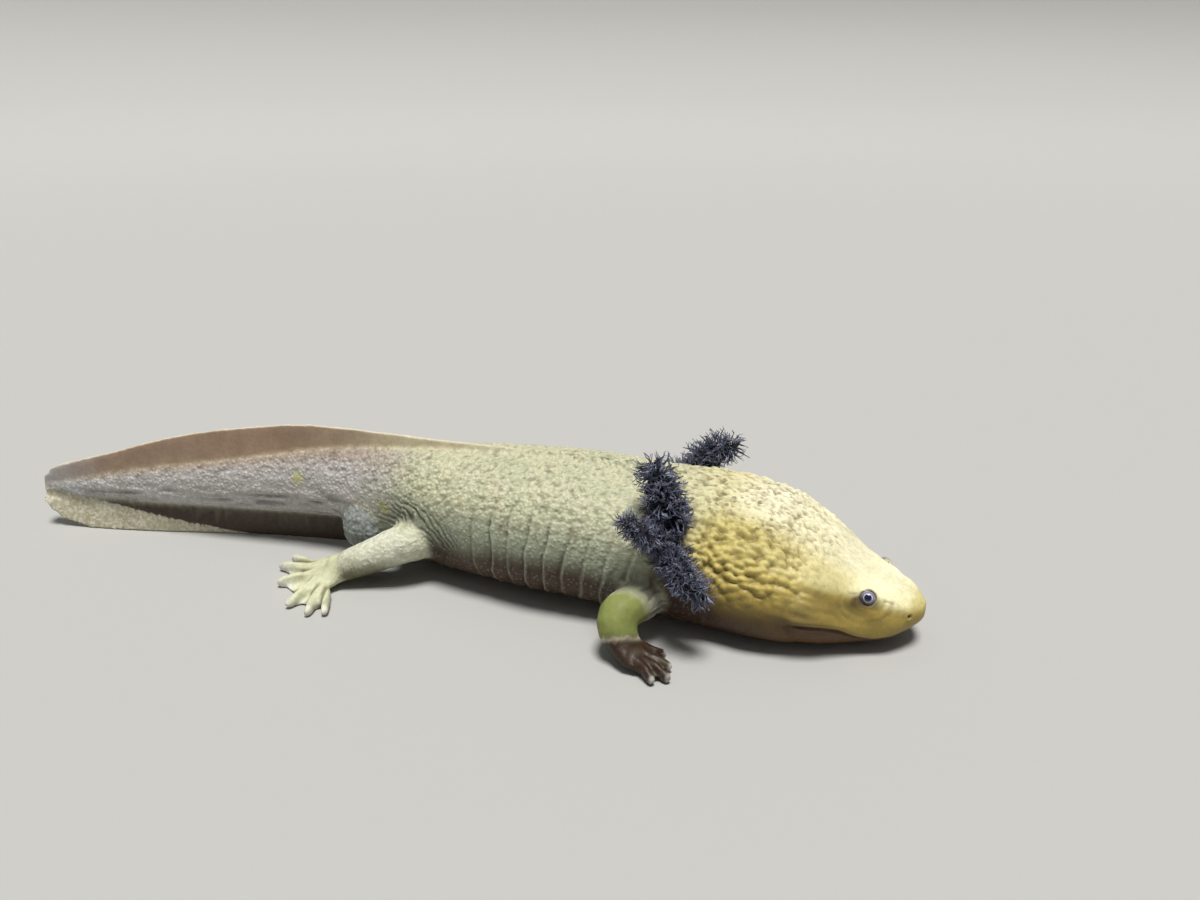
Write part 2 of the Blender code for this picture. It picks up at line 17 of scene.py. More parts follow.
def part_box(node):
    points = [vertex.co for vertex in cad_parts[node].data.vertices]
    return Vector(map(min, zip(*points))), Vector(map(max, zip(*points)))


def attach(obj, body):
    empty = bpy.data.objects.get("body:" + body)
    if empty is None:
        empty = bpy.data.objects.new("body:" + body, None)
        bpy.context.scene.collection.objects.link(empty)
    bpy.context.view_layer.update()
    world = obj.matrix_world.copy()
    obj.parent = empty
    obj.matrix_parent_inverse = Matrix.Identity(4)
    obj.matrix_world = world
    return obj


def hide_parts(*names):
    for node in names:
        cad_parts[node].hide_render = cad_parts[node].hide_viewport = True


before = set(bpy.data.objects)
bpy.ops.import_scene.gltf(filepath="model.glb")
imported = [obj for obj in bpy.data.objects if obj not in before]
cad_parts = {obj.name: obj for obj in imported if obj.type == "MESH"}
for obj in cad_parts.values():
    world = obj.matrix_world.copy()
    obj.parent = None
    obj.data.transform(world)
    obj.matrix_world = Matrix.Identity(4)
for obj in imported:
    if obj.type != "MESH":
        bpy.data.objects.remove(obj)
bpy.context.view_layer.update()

MM = 0.001
TOTAL_LENGTH = 273.0
PINNED_AT, PINNED_LEFT = 100.0, 1.1
NEARER = 4               # times that a place on the midline is brought nearer to a point
HEADINGS = ((0.0, -10.5), (44.0, -10.5), (62.0, 5.0), (82.0, 0.0), (112.0, 0.5), (145.0, 2.5),
            (195.0, 9.0), (240.0, 9.0), (276.0, 6.0))
# Sections of the body: along, half width, back, widest level, underside, roundness above and below.
SECTIONS = (
    (0.0, 1.8, 10.9, 9.2, 7.4, 2.0, 2.0), (0.8, 4.0, 12.0, 8.9, 6.0, 2.1, 2.1),
    (2.6, 6.9, 13.4, 8.4, 4.2, 2.2, 2.2), (6.0, 10.7, 15.0, 7.9, 2.0, 2.2, 2.4),
    (12.5, 14.4, 17.2, 7.8, 0.0, 2.2, 2.6), (25.0, 22.6, 24.2, 9.4, -0.9, 2.1, 2.7),
    (41.0, 27.2, 31.6, 12.2, -1.0, 2.1, 2.9), (56.0, 27.2, 34.2, 12.6, -1.0, 2.1, 3.1),
    (68.0, 25.6, 34.9, 13.6, -1.0, 2.1, 2.9), (96.0, 25.9, 36.1, 16.0, -1.0, 2.1, 2.3),
    (120.0, 22.7, 35.6, 16.4, -0.9, 2.1, 2.2), (137.0, 18.8, 34.7, 16.6, -0.6, 2.1, 2.1),
    (153.0, 12.4, 33.4, 17.2, 4.2, 2.0, 2.0), (172.0, 8.2, 31.6, 18.6, 9.0, 1.9, 1.9),
    (205.0, 5.2, 26.2, 17.2, 9.0, 1.9, 1.9), (240.0, 2.8, 20.4, 14.2, 8.6, 1.9, 1.9),
    (272.8, 0.9, 12.8, 11.0, 9.2, 1.9, 1.9),
)
MOUTH_LINE = ((-3.0, 6.2), (4.0, 5.2), (9.5, 4.2), (13.0, 5.1), (18.0, 8.0), (22.0, 9.0), (27.0, 9.4))
EYE_AT, EYE_OUT, EYE_UP, EYE_RADIUS = 12.8, 9.6, 14.3, 2.1
NOSTRIL = (2.5, 6.6, 10.0)
# Gill stalks: the radius that the filaments reach, and knots of the centreline.
GILLS = {
    "right_upper": (5.2, ((66.2, -16.5, 26.0), (67.2, -19.5, 33.6),
                          (69.3, -18.6, 39.4), (71.4, -14.8, 42.6))),
    "right_middle": (3.6, ((66.7, -19.5, 24.0), (69.2, -26.6, 27.8),
                           (72.2, -29.4, 31.6), (75.6, -28.6, 33.6))),
    "right_lower": (4.2, ((66.3, -20.0, 21.6), (63.4, -28.6, 21.6),
                          (57.6, -32.0, 18.8), (49.5, -32.2, 16.6))),
    "left_upper": (4.8, ((64.5, 14.5, 27.0), (62.6, 17.4, 31.6),
                         (59.2, 19.0, 34.4), (55.0, 18.6, 36.0))),
    "left_middle": (3.8, ((65.0, 19.5, 21.0), (68.4, 26.8, 22.4),
                          (72.6, 30.0, 22.4), (76.6, 31.0, 20.8))),
    "left_lower": (4.2, ((61.0, 21.0, 16.5), (58.4, 28.6, 16.4),
                         (54.4, 32.0, 12.6), (50.6, 32.8, 8.6))),
}
# Hands and feet: the middle of the palm or sole, then the tips of the digits from the inner one out.
DIGITS = {
    "hand_right": ((28.6, -37.1), ((38.4, -33.8), (41.0, -38.8), (41.6, -43.4), (38.0, -45.4))),
    "hand_left": ((28.0, 42.0), ((38.6, 39.0), (41.4, 44.0), (40.2, 49.2), (34.8, 50.8))),
    "foot_right": ((-60.0, -24.2), ((-79.1, -18.3), (-79.8, -23.6), (-74.6, -32.2), (-65.0, -41.6),
                                    (-57.6, -43.6), (-53.2, -42.0))),
    "foot_left": ((-56.2, 34.4), ((-75.0, 30.0), (-77.6, 36.4), (-74.8, 44.0), (-67.6, 50.6), (-58.6, 51.4))),
}

# ---- places on the body ----


def rise(value, start, end):
    """0 before start, 1 after end and a smooth rise between them."""
    share = np.clip((value - start) / (end - start), 0.0, 1.0)
    return share * share * (3 - 2 * share)


def fall(value, start, end):
    """1 before start, 0 after end and a smooth fall between them."""
    return 1 - rise(value, start, end)


def span(value, start, full, fade, end):
    """0 before start and after end, 1 from full to fade and smooth between."""
    return rise(value, start, full) * fall(value, fade, end)


def near(value, middle, reach):
    """1 at middle, falling smoothly to about nothing at twice reach away."""
    return np.exp(-((value - middle) / reach) ** 2)


def columns(*arrays):
    """Arrays laid side by side as the columns of one."""
    return np.stack(arrays, axis=1)


def lengths(offsets):
    """The length of each offset."""
    return np.linalg.norm(offsets, axis=1)


def curve_through(knots, at):
    """A smooth curve through (place, value) knots that never overshoots them."""
    x, y = np.array(knots, float).T
    step, slant = np.diff(x), np.diff(y) / np.diff(x)
    slope = np.zeros(len(x))
    slope[0], slope[-1] = slant[0], slant[-1]
    for i in range(1, len(x) - 1):
        if slant[i - 1] * slant[i] > 0:
            before, after = 2 * step[i] + step[i - 1], step[i] + 2 * step[i - 1]
            slope[i] = (before + after) / (before / slant[i - 1] + after / slant[i])
    at = np.clip(at, x[0], x[-1])
    i = np.clip(np.searchsorted(x, at, side="right") - 1, 0, len(step) - 1)
    u = (at - x[i]) / step[i]
    return (y[i] * (1 + 2 * u) * (1 - u) ** 2 + y[i + 1] * u * u * (3 - 2 * u)
            + step[i] * (slope[i] * u * (1 - u) ** 2 - slope[i + 1] * u * u * (1 - u)))


def heading(along):
    """The midline's direction, towards the head, as an angle from +X."""
    return np.radians(curve_through(HEADINGS, along))


BEYOND, MIDLINE_POINTS = 8.0, 1200
MIDLINE_S = np.linspace(-BEYOND, TOTAL_LENGTH + BEYOND, MIDLINE_POINTS)
STEP = MIDLINE_S[1] - MIDLINE_S[0]
MIDLINE_X = -np.cumsum(np.cos(heading(MIDLINE_S))) * STEP
MIDLINE_Y = -np.cumsum(np.sin(heading(MIDLINE_S))) * STEP
MIDLINE_X -= np.interp(PINNED_AT, MIDLINE_S, MIDLINE_X)
MIDLINE_Y -= np.interp(PINNED_AT, MIDLINE_S, MIDLINE_Y) - PINNED_LEFT
SHIFT = Vector((0, 0, 0))


def place(along, left, up):
    """A point in millimetres from its place on the body."""
    angle = float(heading(along))
    return Vector((np.interp(along, MIDLINE_S, MIDLINE_X) - math.sin(angle) * left,
                   np.interp(along, MIDLINE_S, MIDLINE_Y) + math.cos(angle) * left, up)) + SHIFT


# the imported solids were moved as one, and the right eye's place shows by how much
EYE_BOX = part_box("eye_right")
SHIFT = (EYE_BOX[0] + EYE_BOX[1]) / 2 / MM - place(EYE_AT, -EYE_OUT, EYE_UP)
SHIFT.z = 0.0


def on_body(points):
    """(along, left, up) arrays of points given in millimetres."""
    x, y = points[:, 0] - SHIFT.x, points[:, 1] - SHIFT.y
    along = np.interp(-x, -MIDLINE_X, MIDLINE_S)
    for _ in range(NEARER):
        turn = heading(along)
        dx, dy = x - np.interp(along, MIDLINE_S, MIDLINE_X), y - np.interp(along, MIDLINE_S, MIDLINE_Y)
        along = along - dx * np.cos(turn) - dy * np.sin(turn)
    return along, dy * np.cos(turn) - dx * np.sin(turn), points[:, 2]


def section(along, column):
    """One column of the sections at every place along the body."""
    return curve_through([(row[0], row[column]) for row in SECTIONS], along)


# ---- noise ----


def chances(cell, seed):
    """Three even random numbers for each whole-numbered cell."""
    whole = cell.astype(np.int64).view(np.uint64)
    mixed = (whole[:, 0] * np.uint64(73856093)) ^ (whole[:, 1] * np.uint64(19349663))
    mixed = mixed ^ (whole[:, 2] * np.uint64(83492791)) ^ np.uint64(seed * 2654435761 + 97)
    for shift, factor in ((30, 0xBF58476D1CE4E5B9), (27, 0x94D049BB133111EB)):
        mixed = (mixed ^ (mixed >> np.uint64(shift))) * np.uint64(factor)
    mixed = mixed ^ (mixed >> np.uint64(31))
    low = np.uint64(0x1FFFFF)
    return np.stack([((mixed >> np.uint64(k)) & low).astype(float) / float(low) for k in (0, 21, 42)], axis=1)


def cells(points, seed):
    """Distances in cells to the nearest and next nearest of seeds strewn one to a cell, and a chance each."""
    base = np.floor(points)
    first, second, chance = np.full(len(points), 9.0), np.full(len(points), 9.0), np.zeros(len(points))
    for i in range(27):
        cell = base + (i // 9 - 1, i // 3 % 3 - 1, i % 3 - 1)
        spot = chances(cell, seed)
        gap = lengths(cell + spot - points)
        nearer = gap < first
        second = np.where(nearer, first, np.minimum(second, gap))
        first = np.where(nearer, gap, first)
        chance = np.where(nearer, spot[:, 0], chance)
    return first, second, chance


def clouds(points, seed):
    """Smooth noise from -1 to 1 with features about one unit across."""
    base = np.floor(points)
    share = points - base
    share = share * share * (3 - 2 * share)
    total = np.zeros(len(points))
    for i in range(8):
        corner = np.array((i // 4, i // 2 % 2, i % 2))
        weight = np.prod(np.where(corner, share, 1 - share), axis=1)
        total += weight * chances(base + corner, seed)[:, 0]
    return total * 2 - 1


# ---- meshes ----


def new_object(name, mesh):
    """An object for this mesh, at the origin."""
    made = bpy.data.objects.new(name, mesh)
    bpy.context.scene.collection.objects.link(made)
    return made


def applied(made, keep_name):
    """A plain mesh object of made with its modifiers applied; made itself goes."""
    bpy.context.view_layer.update()
    mesh = bpy.data.meshes.new_from_object(made.evaluated_get(bpy.context.evaluated_depsgraph_get()))
    bpy.data.objects.remove(made)
    mesh.name = keep_name
    return new_object(keep_name, mesh)


def turns(count):
    """Evenly parted angles round a circle."""
    return [2 * math.pi * k / count for k in range(count)]


def stitch(mesh, loops):
    """Joins each ring of vertices to the next with faces."""
    for one, two in zip(loops, loops[1:]):
        for k in range(len(one)):
            follows = (k + 1) % len(one)
            mesh.faces.new((one[k], two[k], two[follows], one[follows]))


def finished(mesh, name):
    """A smooth object of a mesh under construction, which goes."""
    data = bpy.data.meshes.new(name)
    mesh.to_mesh(data)
    mesh.free()
    data.shade_smooth()
    return new_object(name, data)


def numbers(items, field, width=3):
    """A field of many mesh items as an array."""
    values = np.empty(len(items) * width)
    items.foreach_get(field, values)
    return values.reshape(-1, width) if width > 1 else values


# ---- skin: the solids of flesh joined into one surface ----

VOXEL = 0.5
GROW = 0.22              # closes the gaps between neighbouring solids, and is taken off again
FINEST = 195000          # triangles in the finished skin
MOUTH_END = 31.0
FINER = ((5.5, 2.6), (4.0, 0.0))      # how near the eyes, and the mouth's line, each refinement reaches
NOSTRIL_SHARE = 0.4                   # of the reach round the eyes
BLEND_TIMES, JOIN_TIMES = 5, 24       # how often zones are evened out for the paint and for the junctions
FLAT_BELOW = 0.35                     # skin as low as this rests on the floor and isn't raised
SOCKET_FROM, SOCKET_TO, SOCKET_DEPTH = 1.75, 2.35, 0.45
CREST_FRONT = (96, 130)               # where the low crest grows out of the back
TAIL_END = 262
ZONES = {
    "body": ("head", "lower_jaw", "neck", "trunk_front", "trunk_middle", "trunk_rear", "tail_root",
             "tail_middle", "tail_end", "eye_right", "eye_left"),
    "crest": ("back_crest", "tail_fin_upper"),
    "keel": ("tail_fin_lower",),
    "vent": ("vent_swelling",),
    "arm": ("upper_arm_right", "upper_arm_left"),
    **{part: (f"{part}_right", f"{part}_left") for part in ("forearm", "hand", "thigh", "shank", "foot")},
}
LIMBS = ("arm", "thigh", "vent", "forearm", "shank")
FLESH = [node for nodes in ZONES.values() for node in nodes if not node.startswith("eye_")]


def joined_solids():
    """Grown, merged copies of the solids as one loose mesh, and the zone of each of its faces."""
    whole = bmesh.new()
    zone_of = []
    for number, nodes in enumerate(ZONES.values()):
        for node in nodes:
            part = bmesh.new()
            part.from_mesh(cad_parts[node].data)
            bmesh.ops.remove_doubles(part, verts=part.verts, dist=1e-6)
            part.normal_update()
            for vert in part.verts:
                vert.co += vert.normal * GROW * MM
            mesh = bpy.data.meshes.new(node)
            part.to_mesh(mesh)
            part.free()
            zone_of += [number] * len(mesh.polygons)
            whole.from_mesh(mesh)
            bpy.data.meshes.remove(mesh)
    return whole, np.array(zone_of)


def remeshed(whole):
    """One closed surface round all of the loose solids, finer at the eyes, nostrils and mouth."""
    mesh = bpy.data.meshes.new("flesh")
    whole.to_mesh(mesh)
    made = new_object("flesh", mesh)
    voxels = made.modifiers.new("voxels", "REMESH")
    voxels.mode = "VOXEL"
    voxels.voxel_size = VOXEL * MM
    made = applied(made, "skin")
    mesh = bmesh.new()
    mesh.from_mesh(made.data)
    for reach, mouth_reach in FINER:
        mesh.verts.ensure_lookup_table()
        points = np.array([vert.co for vert in mesh.verts]) / MM
        along, _, up = on_body(points)
        wanted = (np.abs(up - curve_through(MOUTH_LINE, along)) < mouth_reach) & (along < MOUTH_END)
        for side in (-1, 1):
            eye = place(EYE_AT, side * EYE_OUT, EYE_UP) + GAZE[side] * EYE_RADIUS
            nose = place(NOSTRIL[0], side * NOSTRIL[1], NOSTRIL[2])
            for spot, within in ((eye, reach), (nose, reach * NOSTRIL_SHARE)):
                wanted |= lengths(points - np.array(spot)) < within
        edges = [edge for edge in mesh.edges if wanted[edge.verts[0].index] and wanted[edge.verts[1].index]]
        bmesh.ops.subdivide_edges(mesh, edges=edges, cuts=1, use_grid_fill=True)
        bmesh.ops.triangulate(mesh, faces=[face for face in mesh.faces if len(face.verts) > 4])
    mesh.to_mesh(made.data)
    mesh.free()
    return made


def spread(values, edges, times, share=1.0):
    """Evens values out over neighbouring vertices; share may differ from vertex to vertex."""
    count = len(values)
    ends = np.bincount(edges.ravel(), minlength=count)
    values = values.copy()
    for _ in range(times):
        for column in range(values.shape[1]):
            total = np.bincount(edges[:, 0], values[edges[:, 1], column], count)
            total += np.bincount(edges[:, 1], values[edges[:, 0], column], count)
            values[:, column] += (total / ends - values[:, column]) * share
    return values


EYE_SHOWS = 0.87         # the eyeball's size over its socket's
EYE_TURN = float(heading(EYE_AT))
GAZE = {side: (Vector((math.cos(EYE_TURN), math.sin(EYE_TURN), 0)) * 0.16
               + Vector((-math.sin(EYE_TURN), math.cos(EYE_TURN), 0)) * side * 0.86
               + Vector((0, 0, 0.48))).normalized() for side in (-1, 1)}


def from_eye(points, side):
    """How far points stand out along one eye's gaze, and their offsets beside it."""
    apart, gaze = points - np.array(place(EYE_AT, side * EYE_OUT, EYE_UP)), np.array(GAZE[side])
    depth = apart @ gaze
    return depth, apart - depth[:, None] * gaze


# ---- relief: how far the skin stands out ----

# the shapes below also mark paint: the dark marks in their creases, pits, furrows and hollows are painted
# shade
FOLD_FROM, FOLD_STEP, FOLDS = 74.0, 5.65, 9      # the costal folds down each flank
HAND_REACH = 30.0                                # farther from the palm or sole than any tip


def ridge_line(along):
    """Height of the ridge that runs from the eye to the nostril."""
    return 11.0 + 0.32 * along


class Surface:
    """The skin's points with their places on the body, how far each stands out, and the paint masks."""

    def __init__(self, points, zone):
        self.points, self.zone = points, zone
        self.body = zone["body"]
        self.along, self.left, self.up = on_body(points)
        self.side = np.abs(self.left)
        back, under = section(self.along, 2), section(self.along, 4)
        self.height = (self.up - under) / (back - under)
        self.laid = columns(self.along, self.left, self.up)
        self.warp = np.stack([clouds(self.laid / 4.5, 20 + k) for k in range(3)], axis=1)
        self.patchy = clouds(self.laid / 9.0, 31)
        self.out = np.full(len(points), -GROW)
        self.mask = {}

    def mark(self, name, amount):
        """Adds to a paint mask."""
        self.mask[name] = self.mask.get(name, 0.0) + amount


def mound(first, chance):
    """A rounded mound over each cell, a little different in size from its neighbours."""
    return fall(first, 0.1, 0.85) * chance - 0.42


def head_mounds(skin):
    """Cheeks and nape: soft mounds in rows, twice as long as wide, with deep pits between; dimples above."""
    along, up, warp, height = skin.along, skin.up, skin.warp, skin.height
    finer = rise(height, 0.9, 0.99)
    cheek = skin.body * rise(along + 5 * warp[:, 0], 19, 31) * fall(along, 60, 76)
    cheek *= rise(up + 2.5 * warp[:, 1], 9, 24)
    mounds, pit = 0.0, 0.0
    for share, size, seed in ((1 - finer, (2.9, 1.75, 1.75), 3), (finer, (2.4, 1.5, 1.5), 4)):
        first, _, chance = cells((skin.laid + warp * (0.9, 0.6, 0.6)) / size, seed)
        mounds = mounds + share * mound(first, 0.75 + 0.5 * chance)
        pit = pit + share * rise(first, 0.54, 0.76) * rise(0.5 * skin.patchy + chance, -0.1, 0.35)
    size = 1.0 + 0.25 * near(along, 44, 15) * near(height, 0.72, 0.22) - 0.35 * finer
    skin.out += cheek * (size * mounds - 0.36 * pit)
    skin.mark("pit", cheek * pit)
    first, _, chance = cells((skin.laid + warp * 0.8) / (2.3, 1.6, 1.6), 6)
    crown = skin.body * span(along, 17, 26, 44, 58) * rise(height, 0.7, 0.86)
    dimple = crown * fall(first, 0.12, 0.36) * rise(skin.patchy + chance, -0.2, 0.4)
    skin.out -= 0.28 * dimple
    skin.mark("pit", 0.9 * dimple)


def back_mounds(skin):
    """Smaller mounds in slanting rows over the back, dying out down the flanks."""
    lean = columns(skin.along + 0.6 * (skin.up - 30), skin.left, skin.up)
    first, _, chance = cells((lean + skin.warp * 0.7) / (1.5, 1.35, 2.1), 5)
    grain = skin.body * rise(skin.along, 56, 76) * (1 - rise(skin.along, 150, 196) * 0.55)
    upper = rise(skin.height + 0.05 * skin.patchy, 0.52, 0.82)
    hole = rise(first, 0.62, 0.84)
    skin.out += grain * ((0.17 + 0.33 * upper) * mound(first, 0.7 + 0.6 * chance) - 0.16 * upper * hole)
    skin.mark("pit", grain * (0.3 + 0.5 * upper) * hole)


def costal_folds(skin):
    """Creases down the flank with a crisp lip behind each, fine upright wrinkles between them and pleats
    of loose skin behind the shoulder."""
    along, left, up, height = skin.along, skin.left, skin.up, skin.height
    slanted = along + (0.22 - 0.2 * rise(along, 84, 116)) * (up - 22) + 0.7 * skin.warp[:, 2]
    turn = (slanted - FOLD_FROM) / FOLD_STEP
    fold = np.round(turn)
    off = (turn - fold) * FOLD_STEP
    firm = 0.6 + 0.4 * chances(columns(fold, 0 * fold, 0 * fold), 8)[:, 0]
    flank = skin.body * rise(up, 1, 5) * fall(height, 0.66, 0.86)
    flank = flank * span(turn, -1.6, -0.6, FOLDS - 1.2, FOLDS - 0.4)
    crease = flank * firm * near(off, 0, 0.4)
    upright = clouds(columns(slanted / 0.95, up / 8.0, left / 8.0), 9)
    skin.out += flank * (0.4 * firm * (near(off, -1.05, 0.8) - 0.4) + 0.24 * upright) - 0.8 * crease
    skin.mark("fold", crease * rise(up, 3, 7) + 0.5 * flank * rise(-upright, 0.35, 0.8) * rise(up, 5, 9))
    # painted highlight: the lip behind each crease is made paler
    skin.mark("lip", flank * firm * near(off, -0.85, 0.38))
    pleat = skin.body * near(along, 73, 5) * near(up, 17, 9) * fall(height, 0.62, 0.8)
    gathered = clouds(columns(along / 1.5, up / 9, left / 9), 37)
    skin.out += 0.65 * pleat * gathered
    skin.mark("fold", 0.9 * pleat * rise(-gathered, 0.25, 0.7))


def hip_furrows(skin):
    """Furrows fanning up and back over the hip."""
    ahead, above = skin.along - 132, skin.up - 10
    run = 0.77 * ahead + 0.64 * above
    across = 0.77 * above - 0.64 * ahead + 0.02 * run * run
    across = across + 1.3 * skin.warp[:, 0] + 0.6 * clouds(skin.laid / 1.9, 33)
    fan = skin.body * span(run, -5, -1, 15, 25) * span(across, -4, -2, 7, 13)
    furrow = fan * near(np.abs((across / (1.3 + 0.03 * run)) % 1.0 - 0.5), 0.0, 0.19)
    skin.out -= 0.5 * furrow
    skin.mark("furrow", furrow * (0.65 + 0.35 * rise(skin.patchy, -0.6, 0.4)))


def tail_rows(skin):
    """Bumps in upright rows on the vent's swelling; on the tail's muscle knobs in rows above and long
    wrinkles low down; faint rays and thin edges on the fins."""
    along, left, up, zone = skin.along, skin.left, skin.up, skin.zone
    first, second, chance = cells((skin.laid + skin.warp * 0.5) / (1.3, 1.3, 1.9), 27)
    skin.out += zone["vent"] * 0.34 * (rise(second - first, 0.0, 0.45) * (0.7 + 0.6 * chance) - 0.5)
    skin.mark("pit", zone["vent"] * 0.5 * fall(second - first, 0.0, 0.25))
    tail = skin.body * rise(along, 150, 172)
    rows = clouds(columns(along / 6.5, left / 1.2, (up + 0.05 * along) / 1.25), 12)
    knobs = clouds((skin.laid + skin.warp * 0.6) / (2.0, 1.2, 1.2), 14)
    low, high = near(skin.height, 0.28, 0.22), near(skin.height, 0.86, 0.18)
    skin.out += tail * ((0.1 + 0.42 * low) * rows + 0.3 * high * knobs)
    skin.mark("wrinkle", tail * (low * rise(-rows, 0.05, 0.6) + 0.6 * high * rise(-knobs, 0.1, 0.7)))
    rays = clouds(columns(along / 1.6, up / 9.0, 0 * up), 17)
    skin.out += np.maximum(zone["crest"], zone["keel"]) * (0.05 * rays - 0.1)


def mouth_and_throat(skin):
    """The mouth's slit with the upper lip rolled over it, its corner's crease and the fold of the throat."""
    along, up, body = skin.along, skin.up, skin.body
    slit = up - curve_through(MOUTH_LINE, along)
    jaw = body * fall(along, 26.5, 30)
    lip = jaw * rise(along, 3, 12)
    skin.out -= jaw * (0.3 + 0.5 * rise(along, 6, 18)) * near(slit, -0.1, 0.55)
    skin.out += lip * (0.55 * near(slit, 1.9, 1.5) * near(along, 21, 9) + 0.12 * near(slit, 1.3, 0.8))
    skin.out -= jaw * 0.45 * fall(slit, -1.6, -0.3) * rise(up, 0.4, 2.0)
    # painted shade in the mouth's slit
    skin.mark("mouth", jaw * near(slit, -0.25, 0.75) * rise(along, 1.0, 8))
    behind = along - 28.2 - 0.5 * (up - 8.5)
    skin.out -= 0.5 * body * near(behind, 0, 0.9) * near(up, 9.0, 2.4)
    gular = along - 50.5 - 0.012 * skin.side ** 2 + 0.3 * up
    throat, low = body * fall(up, 9, 15), fall(up, 3, 9)
    skin.out += throat * (0.25 * near(gular, -2.4, 1.5) - 0.5 * near(gular, 0, 1.0) * low)
    skin.mark("fold", 0.5 * throat * near(gular, 0, 0.7) * low)


def face_lines(skin):
    """The ridge from eye to nostril, the hollow under it, streaks behind the mouth and a dip before the
    cheek."""
    along, up, body = skin.along, skin.up, skin.body
    canthus = up - ridge_line(along) + 0.1 * skin.warp[:, 1]
    snout = body * span(along, 1.5, 4, 9.6, 11.4)
    skin.out += 0.22 * snout * (near(canthus, 0, 0.9) - near(canthus, -2.1, 1.1))
    laid = columns((along + 1.2 * up) / 7.0, (up - 0.35 * along) / 1.5, skin.side / 7.0)
    streaks, streaky = clouds(laid, 59), body * near(along, 25, 8) * near(up, 12.5, 4.5)
    skin.out += 0.75 * streaky * streaks - 0.22 * body * near(along, 20, 3.4) * near(up, 15.5, 1.6)
    skin.mark("fold", 0.9 * streaky * rise(-streaks, 0.0, 0.4))


def round_the_eye(skin, side):
    """One eye's low swelling, the creases at both of its corners, the pouch behind it, the folds that
    circle below it, and the nostril of its side."""
    depth, beside = from_eye(skin.points, side)
    off, above = lengths(beside), beside[:, 2]
    ahead = beside[:, 0] * math.cos(EYE_TURN) + beside[:, 1] * math.sin(EYE_TURN)
    here = depth > -1.5
    fore = near(above + 0.1 * (ahead - 3.5), -0.1, 0.26) * span(ahead, 3.3, 4.2, 6.0, 7.2)
    hind = near(above - 0.5, 0, 0.3) * span(-ahead, 2.2, 3.0, 3.8, 5.0)
    pouch = near(ahead, -2.6, 1.8) * near(above, -1.4, 1.7)
    angle = np.arctan2(above, ahead)
    rings = columns(off + 0.35 * np.sin(3 * angle), 1.1 * angle, 0 * angle + 9 * side)
    folds = clouds(rings, 47)
    circling = near(off, 5.2, 2.8) * fall(above, -1.0, 1.0) * skin.body
    skin.out += here * (0.1 * near(off, 2.1, 0.4) + 0.35 * fall(off, 2.4, 5.2) + 0.28 * circling * folds
                        + 0.3 * near(above, 2.9, 1.0) * near(ahead, 0.0, 3.2)
                        - 0.3 * fore - 0.2 * hind - 0.45 * pouch)
    skin.mark("fold", here * (0.9 * fore + 0.4 * hind + 0.55 * circling * rise(-folds, 0.1, 0.6)))
    # painted shadow: dark in the pouch behind the eye and round the lower side of its rim
    skin.mark("socket", here * (1.2 * pouch + 0.7 * near(off, 2.3, 0.7) * fall(above, -0.8, 0.6)))
    nose = lengths(skin.laid - (NOSTRIL[0], side * NOSTRIL[1], NOSTRIL[2]))
    skin.out += 0.16 * near(nose, 0.95, 0.35) - 0.7 * near(nose, 0, 0.45)
    # painted shade: a dark ring round the eye's edge and in the nostril
    skin.mark("hollow", here * near(off, 1.8, 0.28) + 1.2 * near(nose, 0, 0.42))


def digits(skin, name):
    """The digits of one hand or foot stand up as ridges that start well back on the palm or sole."""
    palm, tips = DIGITS[name]
    foot = name.startswith("foot")
    pale_from, pale_to = (0.87, 0.97) if foot else (0.93, 1.0)
    apart = skin.points[:, :2] - (SHIFT.x, SHIFT.y) - np.array(palm)
    own = skin.zone[name.split("_")[0]] * (lengths(apart) < HAND_REACH)
    nearest = next_one = np.full(len(apart), 9.0)
    reach = end = np.zeros(len(apart))
    for tip in np.array(tips) - np.array(palm):
        length = np.linalg.norm(tip)
        share = apart @ tip / length ** 2
        beside = np.abs(apart[:, 0] * tip[1] - apart[:, 1] * tip[0]) / length + 9 * (share < 0)
        next_one = np.minimum(next_one, np.maximum(beside, nearest))
        reach = np.where(beside < nearest, share, reach)
        nearest = np.minimum(nearest, beside)
        end = np.maximum(end, near(beside, 0, 1.5) * rise(share, pale_from, pale_to))
    outer = rise(reach, 0.36, 0.52)
    ridge = fall(nearest, 0.55, 1.55)
    between = fall(next_one - nearest, 0.5, 2.0)
    skin.out += own * outer * (0.5 * ridge - 0.22 - 0.22 * between)
    skin.mark("tips", own * end)
    if foot:
        skin.mark("web", own * (1 - ridge) * rise(reach, 0.66, 0.84))
        # painted shade: dark lines between the toes
        skin.mark("groove", own * between * outer * fall(reach, 0.78, 0.94))
    else:
        # painted shade: dark lines between the fingers
        skin.mark("between", own * between * outer)


def limb_creases(skin):
    """Folds where the upper arm leaves the shoulder, and fine creases down the legs and over the palms."""
    along, up, zone = skin.along, skin.up, skin.zone
    laid = columns((up - 0.9 * along + 0.4 * skin.side) / 0.8, skin.side / 9.0, along / 12.0)
    folds = clouds(laid, 19)
    line = near(folds, 0.0, 0.16)
    skin.out += zone["arm"] * (0.45 * folds - 0.6 * line) + 0.22 * zone["forearm"] * near(up, 12, 3) * folds
    legs, knee = zone["thigh"] + zone["shank"] + zone["foot"], clouds(skin.laid / (1.3, 3.0, 3.0), 23)
    palm = clouds(skin.laid / (1.6, 2.4, 1.6), 29)
    skin.out += 0.1 * legs * knee + 0.16 * zone["hand"] * palm
    skin.mark("crinkle", np.clip(2.2 * zone["arm"] * line + 0.5 * legs * rise(-knee, 0.3, 0.9), 0, 1))
    skin.mark("crinkle", zone["hand"] * rise(-palm, 0.15, 0.6))


SHAPES = (head_mounds, back_mounds, costal_folds, hip_furrows, tail_rows, mouth_and_throat, face_lines,
          limb_creases)

